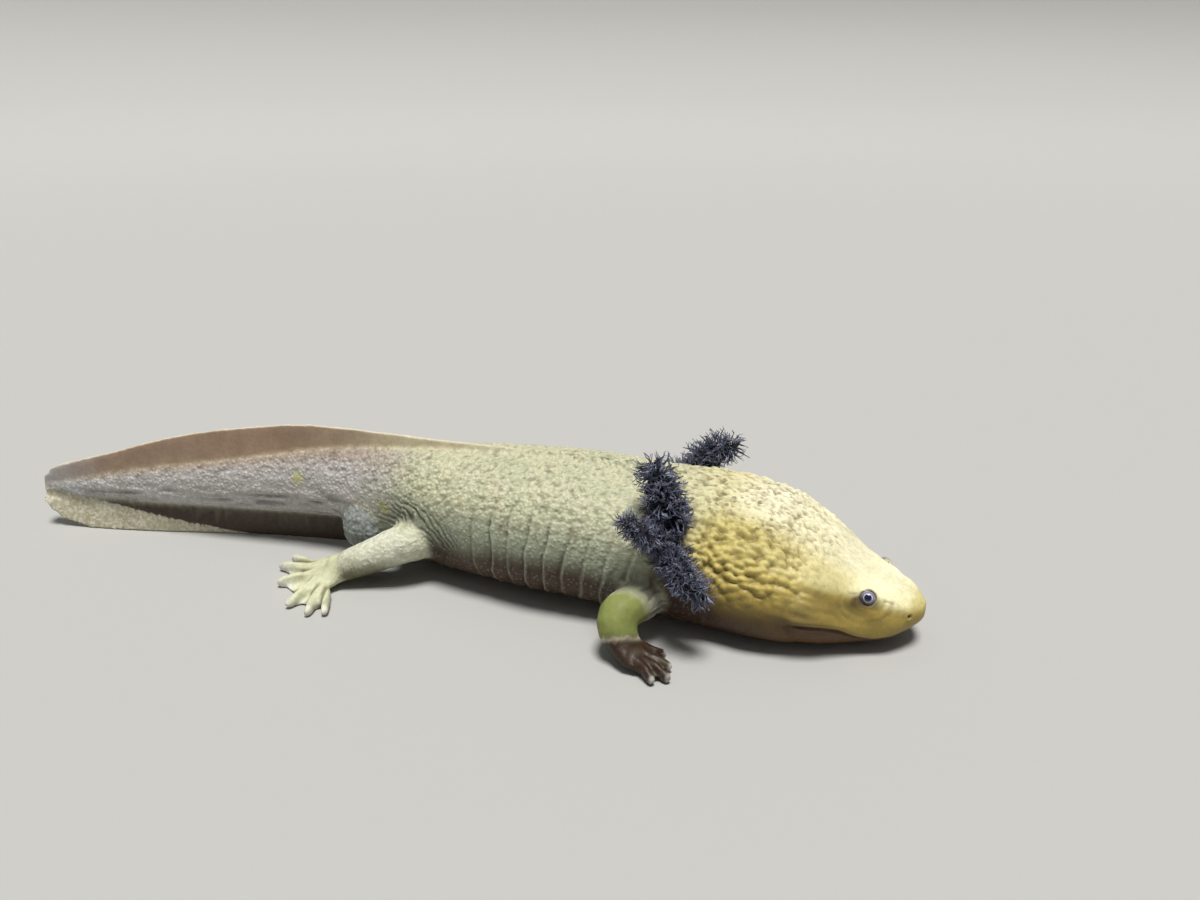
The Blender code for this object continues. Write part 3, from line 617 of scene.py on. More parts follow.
# ---- paint and the finished skin ----

CREST_LINE = (
    (58.0, 34.6), (69.0, 37.0), (83.0, 37.7), (107.0, 37.4), (132.0, 37.0), (160.0, 37.8), (180.0, 38.4),
    (196.0, 36.9), (217.0, 33.7), (230.0, 30.6), (245.0, 26.0), (260.0, 21.8), (270.0, 18.4), (273.0, 16.0),
)


def paints(skin):
    """Where each of the skin's colours lies."""
    along, left, up, height, body, zone = skin.along, skin.left, skin.up, skin.height, skin.body, skin.zone
    crest, keel, forearm = zone["crest"], zone["keel"], zone["forearm"]
    drift, side = clouds(skin.laid / 14.0, 41) * 5, skin.side
    ridge = up - ridge_line(along)
    tail, hind = rise(along + drift, 132, 166), rise(along, 58, 74)
    inner = rise(np.where(left > 0, 4.4, 0.0) - side, -34.2, -31.2) * rise(up, 8.5, 12.5)
    brown = 19.5 - 4.0 * near(along, 77, 7) - 8.0 * fall(along, 40, 66) - 2.6 * rise(along, 95, 125)
    low = fall(up + 0.3 * drift, brown - 5.5, brown + 2.0)
    smooth = near(height, 0.46, 0.3) * span(along, 58, 72, 128, 142)
    spots = near(np.hypot(along - 181.8, up - 23.4), 0, 1.7) + near(np.hypot(along - 151, up - 19.4), 0, 1.5)
    crown = rise(height + 0.006 * drift + 0.14 * rise(left, 0, 10), 0.89, 1.0)
    return {
        "ochre": (body + crest) * fall(along + drift, 52, 74),
        # painted highlight: the crown of the head made pale cream, as where light from above falls on it
        "cream": body * fall(along, 46, 84) * crown * (1 - 0.6 * rise(along, 40, 58)) * rise(along, 0, 9),
        # painted highlight: the upper face of the head, above the eye-to-nostril ridge, made paler
        "pale": body * near(along, 21, 15) * rise(ridge, -1.0, 0.8) * rise(height, 0.45, 0.8),
        # painted highlight: a near-white band above the eye and along the ridge to the nostril
        "brow": body * span(along, 2, 4, 14, 19) * near(ridge, 0.9, 1.3),
        "dusk": body * tail * near(height, 0.97, 0.1),
        # the lower jaw's own brown, made darker as painted shadow under the upper lip
        "jaw": body * fall(along, 27, 36) * fall(up - curve_through(MOUTH_LINE, along), -0.6, 0.4),
        # the cheek's own golden colour, made darker low on the side of the head as painted shade
        "bronze": body * span(along, 20, 34, 56, 70) * fall(up + 0.4 * drift, 15, 33),
        # the snout's golden side below the ridge: its own colour, made darker as painted shade
        "gold": body * fall(along, 20, 30) * fall(ridge, -1.7, 0.5),
        # painted shade: the lower side of the head darkened, as under light from above
        "umber": body * span(along, 14, 30, 56, 66) * fall(up + 0.3 * drift, 10, 22),
        "mauve": body * tail,
        "flank": body * span(along, 60, 78, 140, 165) * fall(height, 0.55, 0.86),
        "shade": body * low * span(along, 22, 44, 134, 150),
        "belly": body * fall(up, 0.6, 3.0),
        "crest": crest * rise(along, 100, 130),
        "fin_tan": crest * rise(along + drift, 138, 186),
        "fin": crest * rise(along, 90, 150),
        "rim_gap": 0.5 + (up - curve_through(CREST_LINE, along)) / 20,
        # the ventral fin's own dark brown, made darker as painted shade
        "keel": keel,
        # the lobe at the end of the ventral fin: its own pale tone, made paler as painted light
        "lobe": (keel + body * rise(along, 225, 262)) * rise(along, 196, 206),
        "lobe_gap": 0.5 + (3.6 + (along - 222.7) / 5.6 - up) / 20,
        "tip": rise(along, 244, 270) * (body + crest + keel),
        "vent": zone["vent"],
        "arm": zone["arm"],
        "green": rise(forearm + 0.05 * drift, 0.38, 0.62) * (1 - inner),
        "cuff": forearm * inner,
        "wrist": np.clip(4.0 * forearm * zone["hand"], 0, 1) ** 3,
        # the hand's own dark brown, made darker as painted shade
        "hand": zone["hand"],
        "leg": zone["shank"] + 0.75 * zone["thigh"] * rise(side, 15, 24),
        # the legs' undersides darkened: their own olive and painted shade
        "underleg": (zone["shank"] + 0.6 * zone["thigh"]) * fall(up + 0.4 * drift, 4.5, 10.5),
        "foot": zone["foot"],
        "spot": body * np.clip(spots, 0, 1) * (left < 0),
        # where short dark pits are painted as shade over the crown, nape and back
        "dash": body * (1 - 0.6 * hind) * rise(height, 0.85 - 0.19 * hind, 0.95 - 0.1 * hind)
                * span(along, 24, 42, 190, 230),
        "grain": body * rise(along, 46, 78) * (1 - 0.3 * smooth) + 0.6 * zone["vent"] + 0.7 * zone["thigh"]
                 + 0.6 * zone["shank"] + 0.4 * keel * rise(along, 225, 240),
    }


def rounded(points, weight):
    """Brings points near the flat-sided body out to its true round section, by weight."""
    along, left, up = on_body(points)
    half, back, level, under, above, below = (section(along, column) for column in range(1, 7))
    power = np.where(up >= level, above, below)
    reach = np.where(up >= level, back - level, level - under)
    depth = (np.abs(left / half) ** power + np.abs((up - level) / reach) ** power) ** (1 / power)
    here = weight * (along < TAIL_END) * span(depth, 0.86, 0.94, 1.06, 1.14) * rise(up, 0.2, 1.2)
    stretch = (1 / np.maximum(depth, 0.5) - 1) * here
    turn = heading(along)
    return points + columns(-np.sin(turn) * left, np.cos(turn) * left, up - level) * stretch[:, None]


def blunted(points, along, up):
    """Brings the end of the tail, fins and all, to one round outline."""
    levels = np.arange(0.0, 26.0, 0.5)
    ends = np.array([np.max(along, initial=0, where=np.abs(up - level) < 0.6) for level in levels])
    wanted = TOTAL_LENGTH - 0.06 * (levels - 12.4) ** 2
    shift = rise(along, 260, 272) * np.interp(up, levels, np.clip(wanted - ends, -2.0, 2.0))
    moved = points.copy()
    moved[:, 0] -= np.cos(heading(along)) * shift
    moved[:, 1] -= np.sin(heading(along)) * shift
    return moved


def evened_body(points, edges, belongs):
    """The body brought to its true section with its junctions evened out, and each zone's share of every
    point."""
    zone, wide = (dict(zip(ZONES, spread(belongs, edges, times).T)) for times in (BLEND_TIMES, JOIN_TIMES))
    join = np.clip(3 * sum(wide[name] for name in LIMBS) * wide["body"], 0, 1)
    ridge = np.clip(4 * wide["crest"] * wide["body"], 0, 1)
    along, _, up = on_body(points)
    points = rounded(points, zone["body"] * (1 - join))
    points = spread(blunted(points, along, up), edges, 3, 0.6)
    front = fall(along, *CREST_FRONT)
    points = spread(points, edges, 16, 0.7 * np.maximum(join, ridge * front))
    zone["body"] = zone["body"] + zone["crest"] * front
    zone["crest"] = zone["crest"] * (1 - front)
    return points, zone


def pressed_sockets(points, edges):
    """The skin pressed flat over the eyeballs' sockets and evened out round their rims."""
    evened = np.zeros(len(points))
    for side in (-1, 1):
        depth, beside = from_eye(points, side)
        around = lengths(beside)
        over = fall(around, SOCKET_FROM, SOCKET_TO) * (depth > 0)
        over = over * np.maximum(depth - SOCKET_DEPTH - 0.5 * rise(around, 1.5, 2.1), 0)
        points = points - over[:, None] * np.array(GAZE[side])
        evened += near(around, 2.1, 0.55) * (np.abs(depth) < 3)
    points = spread(points, edges, 6, 0.6 * evened)
    points[:, 2] = np.maximum(points[:, 2], 0.0)
    return points


def thinned(made, points):
    """The skin with its final number of triangles, and the old point nearest to each of its new ones."""
    faces = sum(len(face.vertices) - 2 for face in made.data.polygons)
    thin = made.modifiers.new("thin", "DECIMATE")
    thin.ratio = FINEST / faces
    made = applied(made, "skin")
    tree = KDTree(len(points))
    for i, point in enumerate(points * MM):
        tree.insert(point, i)
    tree.balance()
    same = np.array([tree.find(vert.co)[1] for vert in made.data.vertices])
    for vert in made.data.vertices:
        vert.co.z = max(vert.co.z, 0.0)
    return made, same


def make_skin():
    """The whole skin, shaped, thinned to its final number of triangles and marked for its paint."""
    whole, zone_of = joined_solids()
    tree = BVHTree.FromBMesh(whole)
    made = remeshed(whole)
    whole.free()
    mesh = made.data
    points = numbers(mesh.vertices, "co") / MM
    edges = numbers(mesh.edges, "vertices", 2).astype(int)
    nearest = [tree.find_nearest(Vector(point))[2] for point in points * MM]
    points, zone = evened_body(points, edges, np.eye(len(ZONES))[zone_of[nearest]])
    mesh.vertices.foreach_set("co", (points * MM).ravel())
    mesh.update()
    skin = Surface(points, zone)
    for shape in SHAPES:
        shape(skin)
    for side in (-1, 1):
        round_the_eye(skin, side)
    for name in DIGITS:
        digits(skin, name)
    out = np.where(skin.up < FLAT_BELOW, np.minimum(skin.out, -GROW), skin.out)
    points = pressed_sockets(points + numbers(mesh.vertex_normals, "vector") * out[:, None], edges)
    mesh.vertices.foreach_set("co", (points * MM).ravel())
    mesh.update()
    made, same = thinned(made, points)
    marks = made.data.attributes
    for name, values in {**skin.mask, **paints(skin)}.items():
        marks.new(name, "FLOAT", "POINT").data.foreach_set("value", np.clip(values, 0, 1)[same])
    marks.new("laid", "FLOAT_VECTOR", "POINT").data.foreach_set("vector", skin.laid[same].ravel())
    made.data.shade_smooth()
    return made


# ---- materials ----


def colour(code):
    """An sRGB hex colour as linear red, green, blue and one."""
    parts = [int(code[i:i + 2], 16) / 255 for i in (1, 3, 5)]
    return (*(p / 12.92 if p <= 0.04045 else ((p + 0.055) / 1.055) ** 2.4 for p in parts), 1.0)


# Short names for nodes used often: their kind, their settings and where their values go, in order.
NODES = {
    "mix": ("ShaderNodeMix", {"data_type": "RGBA"}, ("Factor", 6, 7)),
    "darken": ("ShaderNodeMix", {"data_type": "RGBA", "blend_type": "MULTIPLY"}, ("Factor", 6, 7)),
    "times": ("ShaderNodeMath", {"operation": "MULTIPLY"}, (0, 1)),
    "plus": ("ShaderNodeMath", {"operation": "ADD"}, (0, 1)),
    "minus": ("ShaderNodeMath", {"operation": "SUBTRACT"}, (0, 1)),
    "over": ("ShaderNodeMath", {"operation": "GREATER_THAN"}, (0, 1)),
    "ramp": ("ShaderNodeMapRange", {"interpolation_type": "SMOOTHSTEP"},
             ("Value", "From Min", "From Max", "To Min", "To Max")),
    "noise": ("ShaderNodeTexNoise", {}, ("Vector", "Scale", "Detail", "Roughness")),
    "scaled": ("ShaderNodeVectorMath", {"operation": "MULTIPLY"}, (0, 1)),
    "less": ("ShaderNodeVectorMath", {"operation": "SUBTRACT"}, (0, 1)),
    "mark": ("ShaderNodeAttribute", {}, ()),
    "chance": ("FunctionNodeRandomValue", {"data_type": "FLOAT"}, ("Min", "Max", "Seed")),
}


def add(tree, kind, *values, settings=None, out=None, **inputs):
    """Adds a node with its settings and links, and gives one of its outputs: the named one, or else the
    first in use. Each value or input is a socket, a hex colour or a plain value."""
    kind, usual, order = NODES.get(kind, (kind, {}, ()))
    node = tree.nodes.new(kind)
    for name, value in {**usual, **(settings or {})}.items():
        setattr(node, name, value)
    named = [(name.replace("_", " "), value) for name, value in inputs.items()]
    for name, value in [*zip(order, values), *named]:
        socket = node.inputs[name]
        if isinstance(value, bpy.types.NodeSocket):
            tree.links.new(value, socket)
        else:
            socket.default_value = colour(value) if str(value).startswith("#") else value
    return node.outputs[out] if out else next((one for one in node.outputs if one.enabled), None)


def material(name, **constants):
    """A new material with its shader; constants are set on the shader's own sockets."""
    made = bpy.data.materials.new(name)
    made.use_nodes = True
    shader = made.node_tree.nodes["Principled BSDF"]
    for socket, value in constants.items():
        shader.inputs[socket.replace("_", " ")].default_value = value
    return made, made.node_tree, shader


def painted(tree, base, mark, paint):
    """The base with each paint laid over it: the paint's mark, its colour and how strongly it covers."""
    for name, code, strength in paint:
        base = add(tree, "mix", add(tree, "times", mark[name], strength), base, code)
    return base


def surfaced(tree, shader, base, roughness, height=None, strength=0.0, distance=0.0):
    """Gives a shader its colour and roughness, and bumps of a height that stand out by distance."""
    links = {"Base Color": base, "Roughness": roughness}
    if height is not None:
        links["Normal"] = add(tree, "ShaderNodeBump", Height=height, Strength=strength,
                              Distance=distance * MM)
    for name, value in links.items():
        tree.links.new(value, shader.inputs[name])


# Paint over the grey-green ground, and the lines and pits drawn over that, each in order.
# the dark lines and pits are painted shade in creases and hollows; each painted highlight or shade is noted
# below
PAINTS = (
    # the golden lower side of the head is its own colour and painted shade
    ("mauve", "#c3bfbf", 1), ("dusk", "#9c8878", 0.8), ("ochre", "#d0c47e", 1), ("bronze", "#bda64e", 0.9),
    # the dark brown low on the head is painted shade
    # the pale cream on the crown is painted highlight
    # the snout's darker golden side is its own colour and painted shade
    ("gold", "#a08a40", 0.95), ("umber", "#5a4419", 0.95), ("cream", "#f0ecd2", 0.9),
    # the near-white band along the eye-to-nostril ridge is painted highlight
    # the paler upper face of the head is painted highlight
    ("pale", "#eee8bc", 0.4), ("brow", "#fdf8d0", 0.75), ("belly", "#8b7c62", 0.8),
    # the lower jaw's dark brown is its own colour and painted shadow
    ("flank", "#8a9584", 0.8), ("shade", "#3b200c", 1), ("jaw", "#5e4020", 1), ("crest", "#cbc0a2", 0.95),
    # the ventral fin's dark brown is its own colour and painted shade
    ("fin_tan", "#aa8d79", 0.95), ("keel", "#3e2d23", 1), ("tip", "#bcc0c6", 0.6),
    ("vent", "#939ba0", 0.95), ("arm", "#a8aa9c", 0.9), ("cuff", "#a3a88c", 1), ("green", "#818a4a", 1),
    # the dark undersides of the legs are their own olive and painted shade
    # the hand's dark brown is its own colour and painted shade
    ("hand", "#301a0b", 1), ("wrist", "#d5cbb0", 0.7), ("leg", "#e2e4cf", 1), ("underleg", "#5f5834", 0.95),
    # the dark lines between the toes are painted shade
    ("foot", "#d3d5b4", 1), ("web", "#e4e3dd", 0.8), ("groove", "#57521f", 0.8),
    # the dark lines between the fingers are painted shade
    # the dark round each eye's socket is painted shadow
    ("between", "#1f120b", 0.7), ("tips", "#e2dfd8", 0.7), ("socket", "#453714", 0.9),
    # the pale lips of the costal folds are painted highlight
    ("spot", "#c2c04e", 0.7), ("lip", "#cfd2bc", 0.4),
)
EDGES = ("lobe_gap", "lobe", "rim_gap", "fin", "grain", "dash", "pit")
LINES = (
    # painted shade in creases: the folds, the hip's furrows, the tail's wrinkles, the limbs' creases, the
    # mouth's slit, the ring round each eye and the nostrils
    ("fold", "#4b4434", 0.6), ("furrow", "#2f271d", 0.95), ("wrinkle", "#453e3a", 0.6),
    ("crinkle", "#4a4434", 0.6), ("mouth", "#452a15", 0.85), ("hollow", "#4a4048", 0.85),
)


def skin_material():
    """Living amphibian skin, moist and granular: satin, with a soft glow where it is thin."""
    made, tree, shader = material("moist_granular_skin", Subsurface_Weight=0.08, Subsurface_Scale=0.0012,
                                  Subsurface_Radius=(1.0, 0.62, 0.4),
                                  Coat_Weight=0.12, Coat_Roughness=0.36, IOR=1.4)
    mark = {name: add(tree, "mark", settings={"attribute_name": name}, out="Fac")
            for name in [row[0] for row in PAINTS + LINES] + list(EDGES)}
    laid = add(tree, "mark", settings={"attribute_name": "laid"}, out="Vector")
    mottle = add(tree, "noise", laid, 0.16, 4.0, 0.6)
    speck = add(tree, "noise", laid, 0.9, 3.0, 0.65)
    base = add(tree, "mix", add(tree, "ramp", mottle, 0.35, 0.65), "#bdc0a0", "#d6d5b6")
    base = painted(tree, base, mark, PAINTS)
    # the pale lobe under the tail and the pale rims of the fins, whose edges run at set distances
    # the lobe's pale tone is its own, made paler as painted light where the fin's end turns up
    gap = add(tree, "plus", mark["lobe_gap"], add(tree, "times", speck, 0.1))
    lobe = add(tree, "times", add(tree, "ramp", gap, 0.54, 0.57), mark["lobe"])
    mottled = add(tree, "mix", add(tree, "ramp", speck, 0.4, 0.62), "#bdb698", "#d2cfbf")
    base = add(tree, "mix", add(tree, "times", lobe, 0.92), base, mottled)
    rim = add(tree, "times", add(tree, "ramp", mark["rim_gap"], 0.465, 0.49), mark["fin"])
    base = add(tree, "mix", add(tree, "times", rim, 0.85), base, "#e3dac6")
    # cloudy and speckled all over, brighter where the skin is granular
    base = add(tree, "darken", add(tree, "ramp", mottle, 0.35, 0.7, 0.0, 0.22), base, "#8f8a66")
    base = add(tree, "mix", add(tree, "ramp", speck, 0.35, 0.6, 0.16, 0.0), base, "#5b523c")
    bright = add(tree, "times", mark["grain"], add(tree, "ramp", mark["shade"], 0.0, 1.0, 1.0, 0.1))
    bright = add(tree, "times", add(tree, "ramp", speck, 0.55, 0.75, 0.0, 0.25), bright)
    base = add(tree, "mix", bright, base, "#e6e2cc")
    # grains about 1.1 mm across with a pale crown and a dark ring, on trunk and tail
    # the crown is the grains' own pale tone with painted highlight, and the ring is painted shade
    grains = add(tree, "ShaderNodeTexVoronoi", settings={"feature": "SMOOTH_F1"}, Vector=laid, Scale=0.88,
                 Smoothness=0.25, Randomness=0.9)
    pale = add(tree, "times", add(tree, "ramp", grains, 0.1, 0.42, 1.0, 0.0), mark["grain"])
    ring = add(tree, "times", add(tree, "ramp", grains, 0.42, 0.7), mark["grain"])
    pale_share = add(tree, "plus", add(tree, "times", mark["shade"], 0.14), 0.14)
    base = add(tree, "mix", add(tree, "times", pale, pale_share), base, "#dcdac4")
    base = add(tree, "mix", add(tree, "times", ring, 0.22), base, "#5a5645")
    # painted shade: short dark pits in rows over crown, nape and back, about 2.4 mm apart along and 1.4 mm
    # across
    rows = add(tree, "scaled", laid, (0.38, 0.74, 0.74))
    seeds = add(tree, "ShaderNodeTexVoronoi", Vector=rows, Scale=1.0, Randomness=0.8)
    dash = add(tree, "times", add(tree, "ramp", seeds, 0.16, 0.36, 1.0, 0.0), mark["dash"])
    # the pits and dashes take a dark olive or brown painted shade
    pit_shade = add(tree, "mix", mark["ochre"], "#5b5844", "#6a5a26")
    base = add(tree, "mix", add(tree, "times", mark["pit"], 0.72), base, pit_shade)
    base = add(tree, "mix", add(tree, "times", dash, 0.55), base, pit_shade)
    base = painted(tree, base, mark, LINES)
    roughness = add(tree, "ramp", speck, 0.3, 0.7, 0.46, 0.62)
    roughness = add(tree, "plus", roughness, add(tree, "times", mark["green"], 0.22))
    crowns = add(tree, "times", add(tree, "ramp", grains, 0.05, 0.65, 1.0, 0.0), mark["grain"])
    fine = add(tree, "noise", laid, 2.6, 2.0)
    height = add(tree, "plus", crowns, add(tree, "times", fine, 0.35))
    surfaced(tree, shader, base, roughness, add(tree, "minus", height, dash), 0.7, 0.32)
    return made


def eye_material():
    """A wet eyeball: black-blue pupil, silver iris flecked with grey and a violet-grey rim under a clear
    coat."""
    made, tree, shader = material("wet_eye", Coat_Weight=1.0, Coat_Roughness=0.03, IOR=1.38)
    ring = add(tree, "mark", settings={"attribute_name": "ring"}, out="Fac")
    spoke = add(tree, "mark", settings={"attribute_name": "spoke"}, out="Vector")
    fleck = add(tree, "noise", spoke, 3.0, 4.0, 0.7)
    base = add(tree, "mix", add(tree, "ramp", fleck, 0.35, 0.65), "#8e91ac", "#d5d7e4")
    # the darkest band, near the edge of the visible eyeball, is painted shade from the socket
    for start, end, code in ((0.56, 0.64, "#77748a"), (0.7, 0.86, "#96929f"), (0.9, 0.97, "#5f5560"),
                             (0.99, 1.0, "#aeb2ae")):
        base = add(tree, "mix", add(tree, "ramp", ring, start, end), base, code)
    base = add(tree, "mix", add(tree, "ramp", ring, 0.42, 0.48, 1.0, 0.0), base, "#171a3a")
    surfaced(tree, shader, base, add(tree, "ramp", ring, 0.34, 0.5, 0.12, 0.3), fleck, 0.3, 0.08)
    return made


def gill_material():
    """Gill filaments: thin, soft, full of blood, blue-black, violet-grey at the tips, streaked with painted
    highlight.
    """
    made, tree, shader = material("gill_filaments", Subsurface_Weight=0.08, Subsurface_Scale=0.0006,
                                  Coat_Weight=0.25, Coat_Roughness=0.3, IOR=1.38)
    reach, stalk = (add(tree, "mark", settings={"attribute_name": name}, out="Fac")
                    for name in ("reach", "stalk"))
    # painted highlight: pale blue streaks over the filaments
    highlight_streaks = add(tree, "noise", add(tree, "ShaderNodeTexCoord", out="Object"), 420.0, 2.0)
    base = add(tree, "mix", add(tree, "ramp", reach, 0.1, 0.95), "#30323d", "#565b70")
    base = add(tree, "mix", add(tree, "ramp", highlight_streaks, 0.46, 0.7, 0.0, 0.8), base, "#9299b0")
    base = add(tree, "mix", stalk, base, "#2e2c36")
    surfaced(tree, shader, base, add(tree, "ramp", reach, 0.0, 1.0, 0.5, 0.36))
    return made


def floor_material():
    """A pale matt board."""
    return material("pale_board", Roughness=0.85, Base_Color=colour("#aeaeac"))[0]


# ---- eyes ----

EYE_SIDES, EYE_RINGS = 48, 32


def make_eye(side, name):
    """An eyeball turned about its gaze in rings, with a cornea that bulges over the pupil and iris."""
    gaze = GAZE[side]
    across = gaze.cross(Vector((0, 0, 1))).normalized()
    upright = across.cross(gaze)
    centre = place(EYE_AT, side * EYE_OUT, EYE_UP)
    mesh = bmesh.new()
    ring_mark, spoke_mark = mesh.verts.layers.float.new("ring"), mesh.verts.layers.float_vector.new("spoke")
    loops = []
    for i in range(1, EYE_RINGS):
        polar = math.pi * (i / EYE_RINGS) ** 1.25
        bulge = 0.16 * float(fall(polar, 0.35, 1.0)) + 0.06
        radius = (EYE_RADIUS + bulge) * EYE_SHOWS
        loop = []
        for turn in turns(EYE_SIDES):
            beside = across * math.cos(turn) + upright * math.sin(turn)
            spot = gaze * math.cos(polar) + beside * math.sin(polar)
            vert = mesh.verts.new((centre + spot * radius) * MM)
            vert[ring_mark] = math.sin(polar) if polar < math.pi / 2 else 1.0
            vert[spoke_mark] = Vector((math.cos(turn), math.sin(turn), 0.4 * polar))
            loop.append(vert)
        loops.append(loop)
    for reach, loop, mark in ((0.22 + EYE_RADIUS, loops[0], 0.0), (-0.06 - EYE_RADIUS, loops[-1], 1.0)):
        pole = mesh.verts.new((centre + gaze * reach * EYE_SHOWS) * MM)
        pole[ring_mark] = mark
        for one, two in zip(loop, loop[1:] + loop[:1]):
            mesh.faces.new((pole, one, two))
    stitch(mesh, loops)
    bmesh.ops.recalc_face_normals(mesh, faces=mesh.faces)
    return finished(mesh, name)


# ---- gills ----

STALK_SIDES, STALK_RINGS = 14, 26
ROOT_RADIUS, TIP_RADIUS = 2.2, 1.1
TUBE_SIDES, TUBE_POINTS = 5, 7
PER_SQUARE_METRE = 4.0e6
THICKNESS = 0.052        # a filament's radius for each unit of its length
WANDER = 0.0058
FIRST_SEED = 11
PATCH = 0.003            # a filament's size in the unwrap


def curve_points(knots, count):
    """Evenly parted points on a smooth curve through the knots, and how far along each lies."""
    knots = np.array([list(knot) for knot in knots])
    padded = np.vstack([2 * knots[0] - knots[1], knots, 2 * knots[-1] - knots[-2]])
    fine = []
    for i in range(len(knots) - 1):
        a, b, c, d = padded[i:i + 4]
        for u in np.linspace(0, 1, 24, endpoint=i == len(knots) - 2):
            fine.append(0.5 * (2 * b + (c - a) * u + (2 * a - 5 * b + 4 * c - d) * u * u
                               + (3 * b - 3 * c + d - a) * u ** 3))
    fine = np.array(fine)
    reached = np.concatenate([[0], np.cumsum(lengths(np.diff(fine, axis=0)))])
    shares = np.linspace(0, 1, count)
    return np.stack([np.interp(shares * reached[-1], reached, fine[:, k]) for k in range(3)], axis=1), shares


def make_stalk(name, knots):
    """The fleshy stalk of a gill, tapering to a blunt tip."""
    points, shares = curve_points([place(*knot) for knot in knots], STALK_RINGS)
    mesh = bmesh.new()
    root = mesh.verts.layers.float_vector.new("root")
    across = Vector(points[1] - points[0]).cross(Vector((1, 0, 0)))
    loops = []
    for i, (point, share) in enumerate(zip(points, shares)):
        ahead = Vector(points[min(i + 1, STALK_RINGS - 1)] - points[max(i - 1, 0)]).normalized()
        across = (across - ahead * across.dot(ahead)).normalized()
        upright = across.cross(ahead)
        blunt = math.sqrt(max(1 - max(share - 0.88, 0) ** 2 / 0.0146, 0.05))
        radius = (ROOT_RADIUS + (TIP_RADIUS - ROOT_RADIUS) * share) * blunt
        loop = []
        for k, turn in enumerate(turns(STALK_SIDES)):
            beside = across * math.cos(turn) + upright * math.sin(turn)
            vert = mesh.verts.new((Vector(point) + beside * radius) * MM)
            vert[root] = Vector((share, k / STALK_SIDES, 0))
            loop.append(vert)
        loops.append(loop)
    stitch(mesh, loops)
    mesh.faces.new(loops[0])
    mesh.faces.new(loops[-1])
    bmesh.ops.recalc_face_normals(mesh, faces=mesh.faces)
    return finished(mesh, name)


def filament_tree(skin):
    """Filaments strewn over a stalk: each a curled, tapering tube that grows outwards and towards the tip."""
    tree = bpy.data.node_groups.new("gill_filaments", "GeometryNodeTree")
    face = tree.interface
    face.new_socket("Geometry", in_out="INPUT", socket_type="NodeSocketGeometry")
    face.new_socket("Geometry", in_out="OUTPUT", socket_type="NodeSocketGeometry")
    for name, kind in (("Length", "Float"), ("Radius", "Float"), ("Density", "Float"), ("Curl", "Float"),
                       ("Seed", "Int")):
        face.new_socket(name, in_out="INPUT", socket_type=f"NodeSocket{kind}")
    given = add(tree, "NodeGroupInput").node.outputs
    number, vector = {"data_type": "FLOAT"}, {"data_type": "FLOAT_VECTOR"}
    # one filament, standing up along Z and bent, one unit long before it is scaled
    line = add(tree, "GeometryNodeCurvePrimitiveLine", End=(0.0, 0.0, 1.0))
    line = add(tree, "GeometryNodeResampleCurve", Curve=line, Count=TUBE_POINTS)
    share = add(tree, "GeometryNodeSplineParameter")
    bent = add(tree, "times", add(tree, "times", share, share), 0.42)
    bend = add(tree, "ShaderNodeCombineXYZ", X=bent)
    line = add(tree, "GeometryNodeSetPosition", Geometry=line, Offset=bend)
    line = add(tree, "GeometryNodeStoreNamedAttribute", settings=number, Geometry=line, Name="reach",
               Value=share)
    loop = add(tree, "GeometryNodeCurvePrimitiveCircle", Resolution=TUBE_SIDES, Radius=1.0)
    thick = add(tree, "times", add(tree, "ramp", share, 0.35, 1.0, 1.0, 0.3), given["Radius"])
    tube = add(tree, "GeometryNodeCurveToMesh", Curve=line, Profile_Curve=loop, Scale=thick, Fill_Caps=True)
    # strewn over the stalk clear of its root, each turned, tilted and scaled in its own way
    strewn = add(tree, "GeometryNodeDistributePointsOnFaces", Mesh=given["Geometry"],
                 Density=given["Density"], Seed=given["Seed"])
    root = add(tree, "GeometryNodeInputNamedAttribute", settings=vector, Name="root")
    kept = add(tree, "over", add(tree, "ShaderNodeSeparateXYZ", Vector=root), 0.1)
    spin = add(tree, "chance", 0.0, 2 * math.pi, 3)
    tilt = add(tree, "chance", -0.75, 0.75, 5)
    turn = add(tree, "ShaderNodeCombineXYZ", X=tilt, Z=spin)
    turned = add(tree, "FunctionNodeRotateEuler", settings={"space": "LOCAL"},
                 Rotation=strewn.node.outputs["Rotation"], Rotate_By=turn)
    scale = add(tree, "times", add(tree, "chance", 0.72, 1.12, 7), given["Length"])
    tubes = add(tree, "GeometryNodeInstanceOnPoints", Points=strewn, Selection=kept, Instance=tube,
                Rotation=turned, Scale=scale)
    tubes = add(tree, "GeometryNodeRealizeInstances", Geometry=tubes)
    # each filament wanders in its own way towards its tip
    where = add(tree, "GeometryNodeInputPosition")
    wander = add(tree, "ShaderNodeTexNoise", out="Color", Vector=where, Scale=380.0, Detail=1.0)
    off = add(tree, "less", wander, (0.5, 0.5, 0.5))
    reach = add(tree, "GeometryNodeInputNamedAttribute", settings=number, Name="reach")
    pull = add(tree, "ShaderNodeVectorMath", settings={"operation": "SCALE"}, Vector=off,
               Scale=add(tree, "times", reach, given["Curl"]))
    curled = add(tree, "GeometryNodeSetPosition", Geometry=tubes, Offset=pull)
    stalk = add(tree, "GeometryNodeStoreNamedAttribute", settings=number, Geometry=given["Geometry"],
                Name="stalk", Value=1.0)
    both = add(tree, "GeometryNodeJoinGeometry", Geometry=curled)
    tree.links.new(stalk, both.node.inputs["Geometry"])
    smooth = add(tree, "GeometryNodeSetShadeSmooth", Geometry=both)
    final = add(tree, "GeometryNodeSetMaterial", Geometry=smooth, Material=skin)
    add(tree, "NodeGroupOutput", Geometry=final)
    return tree


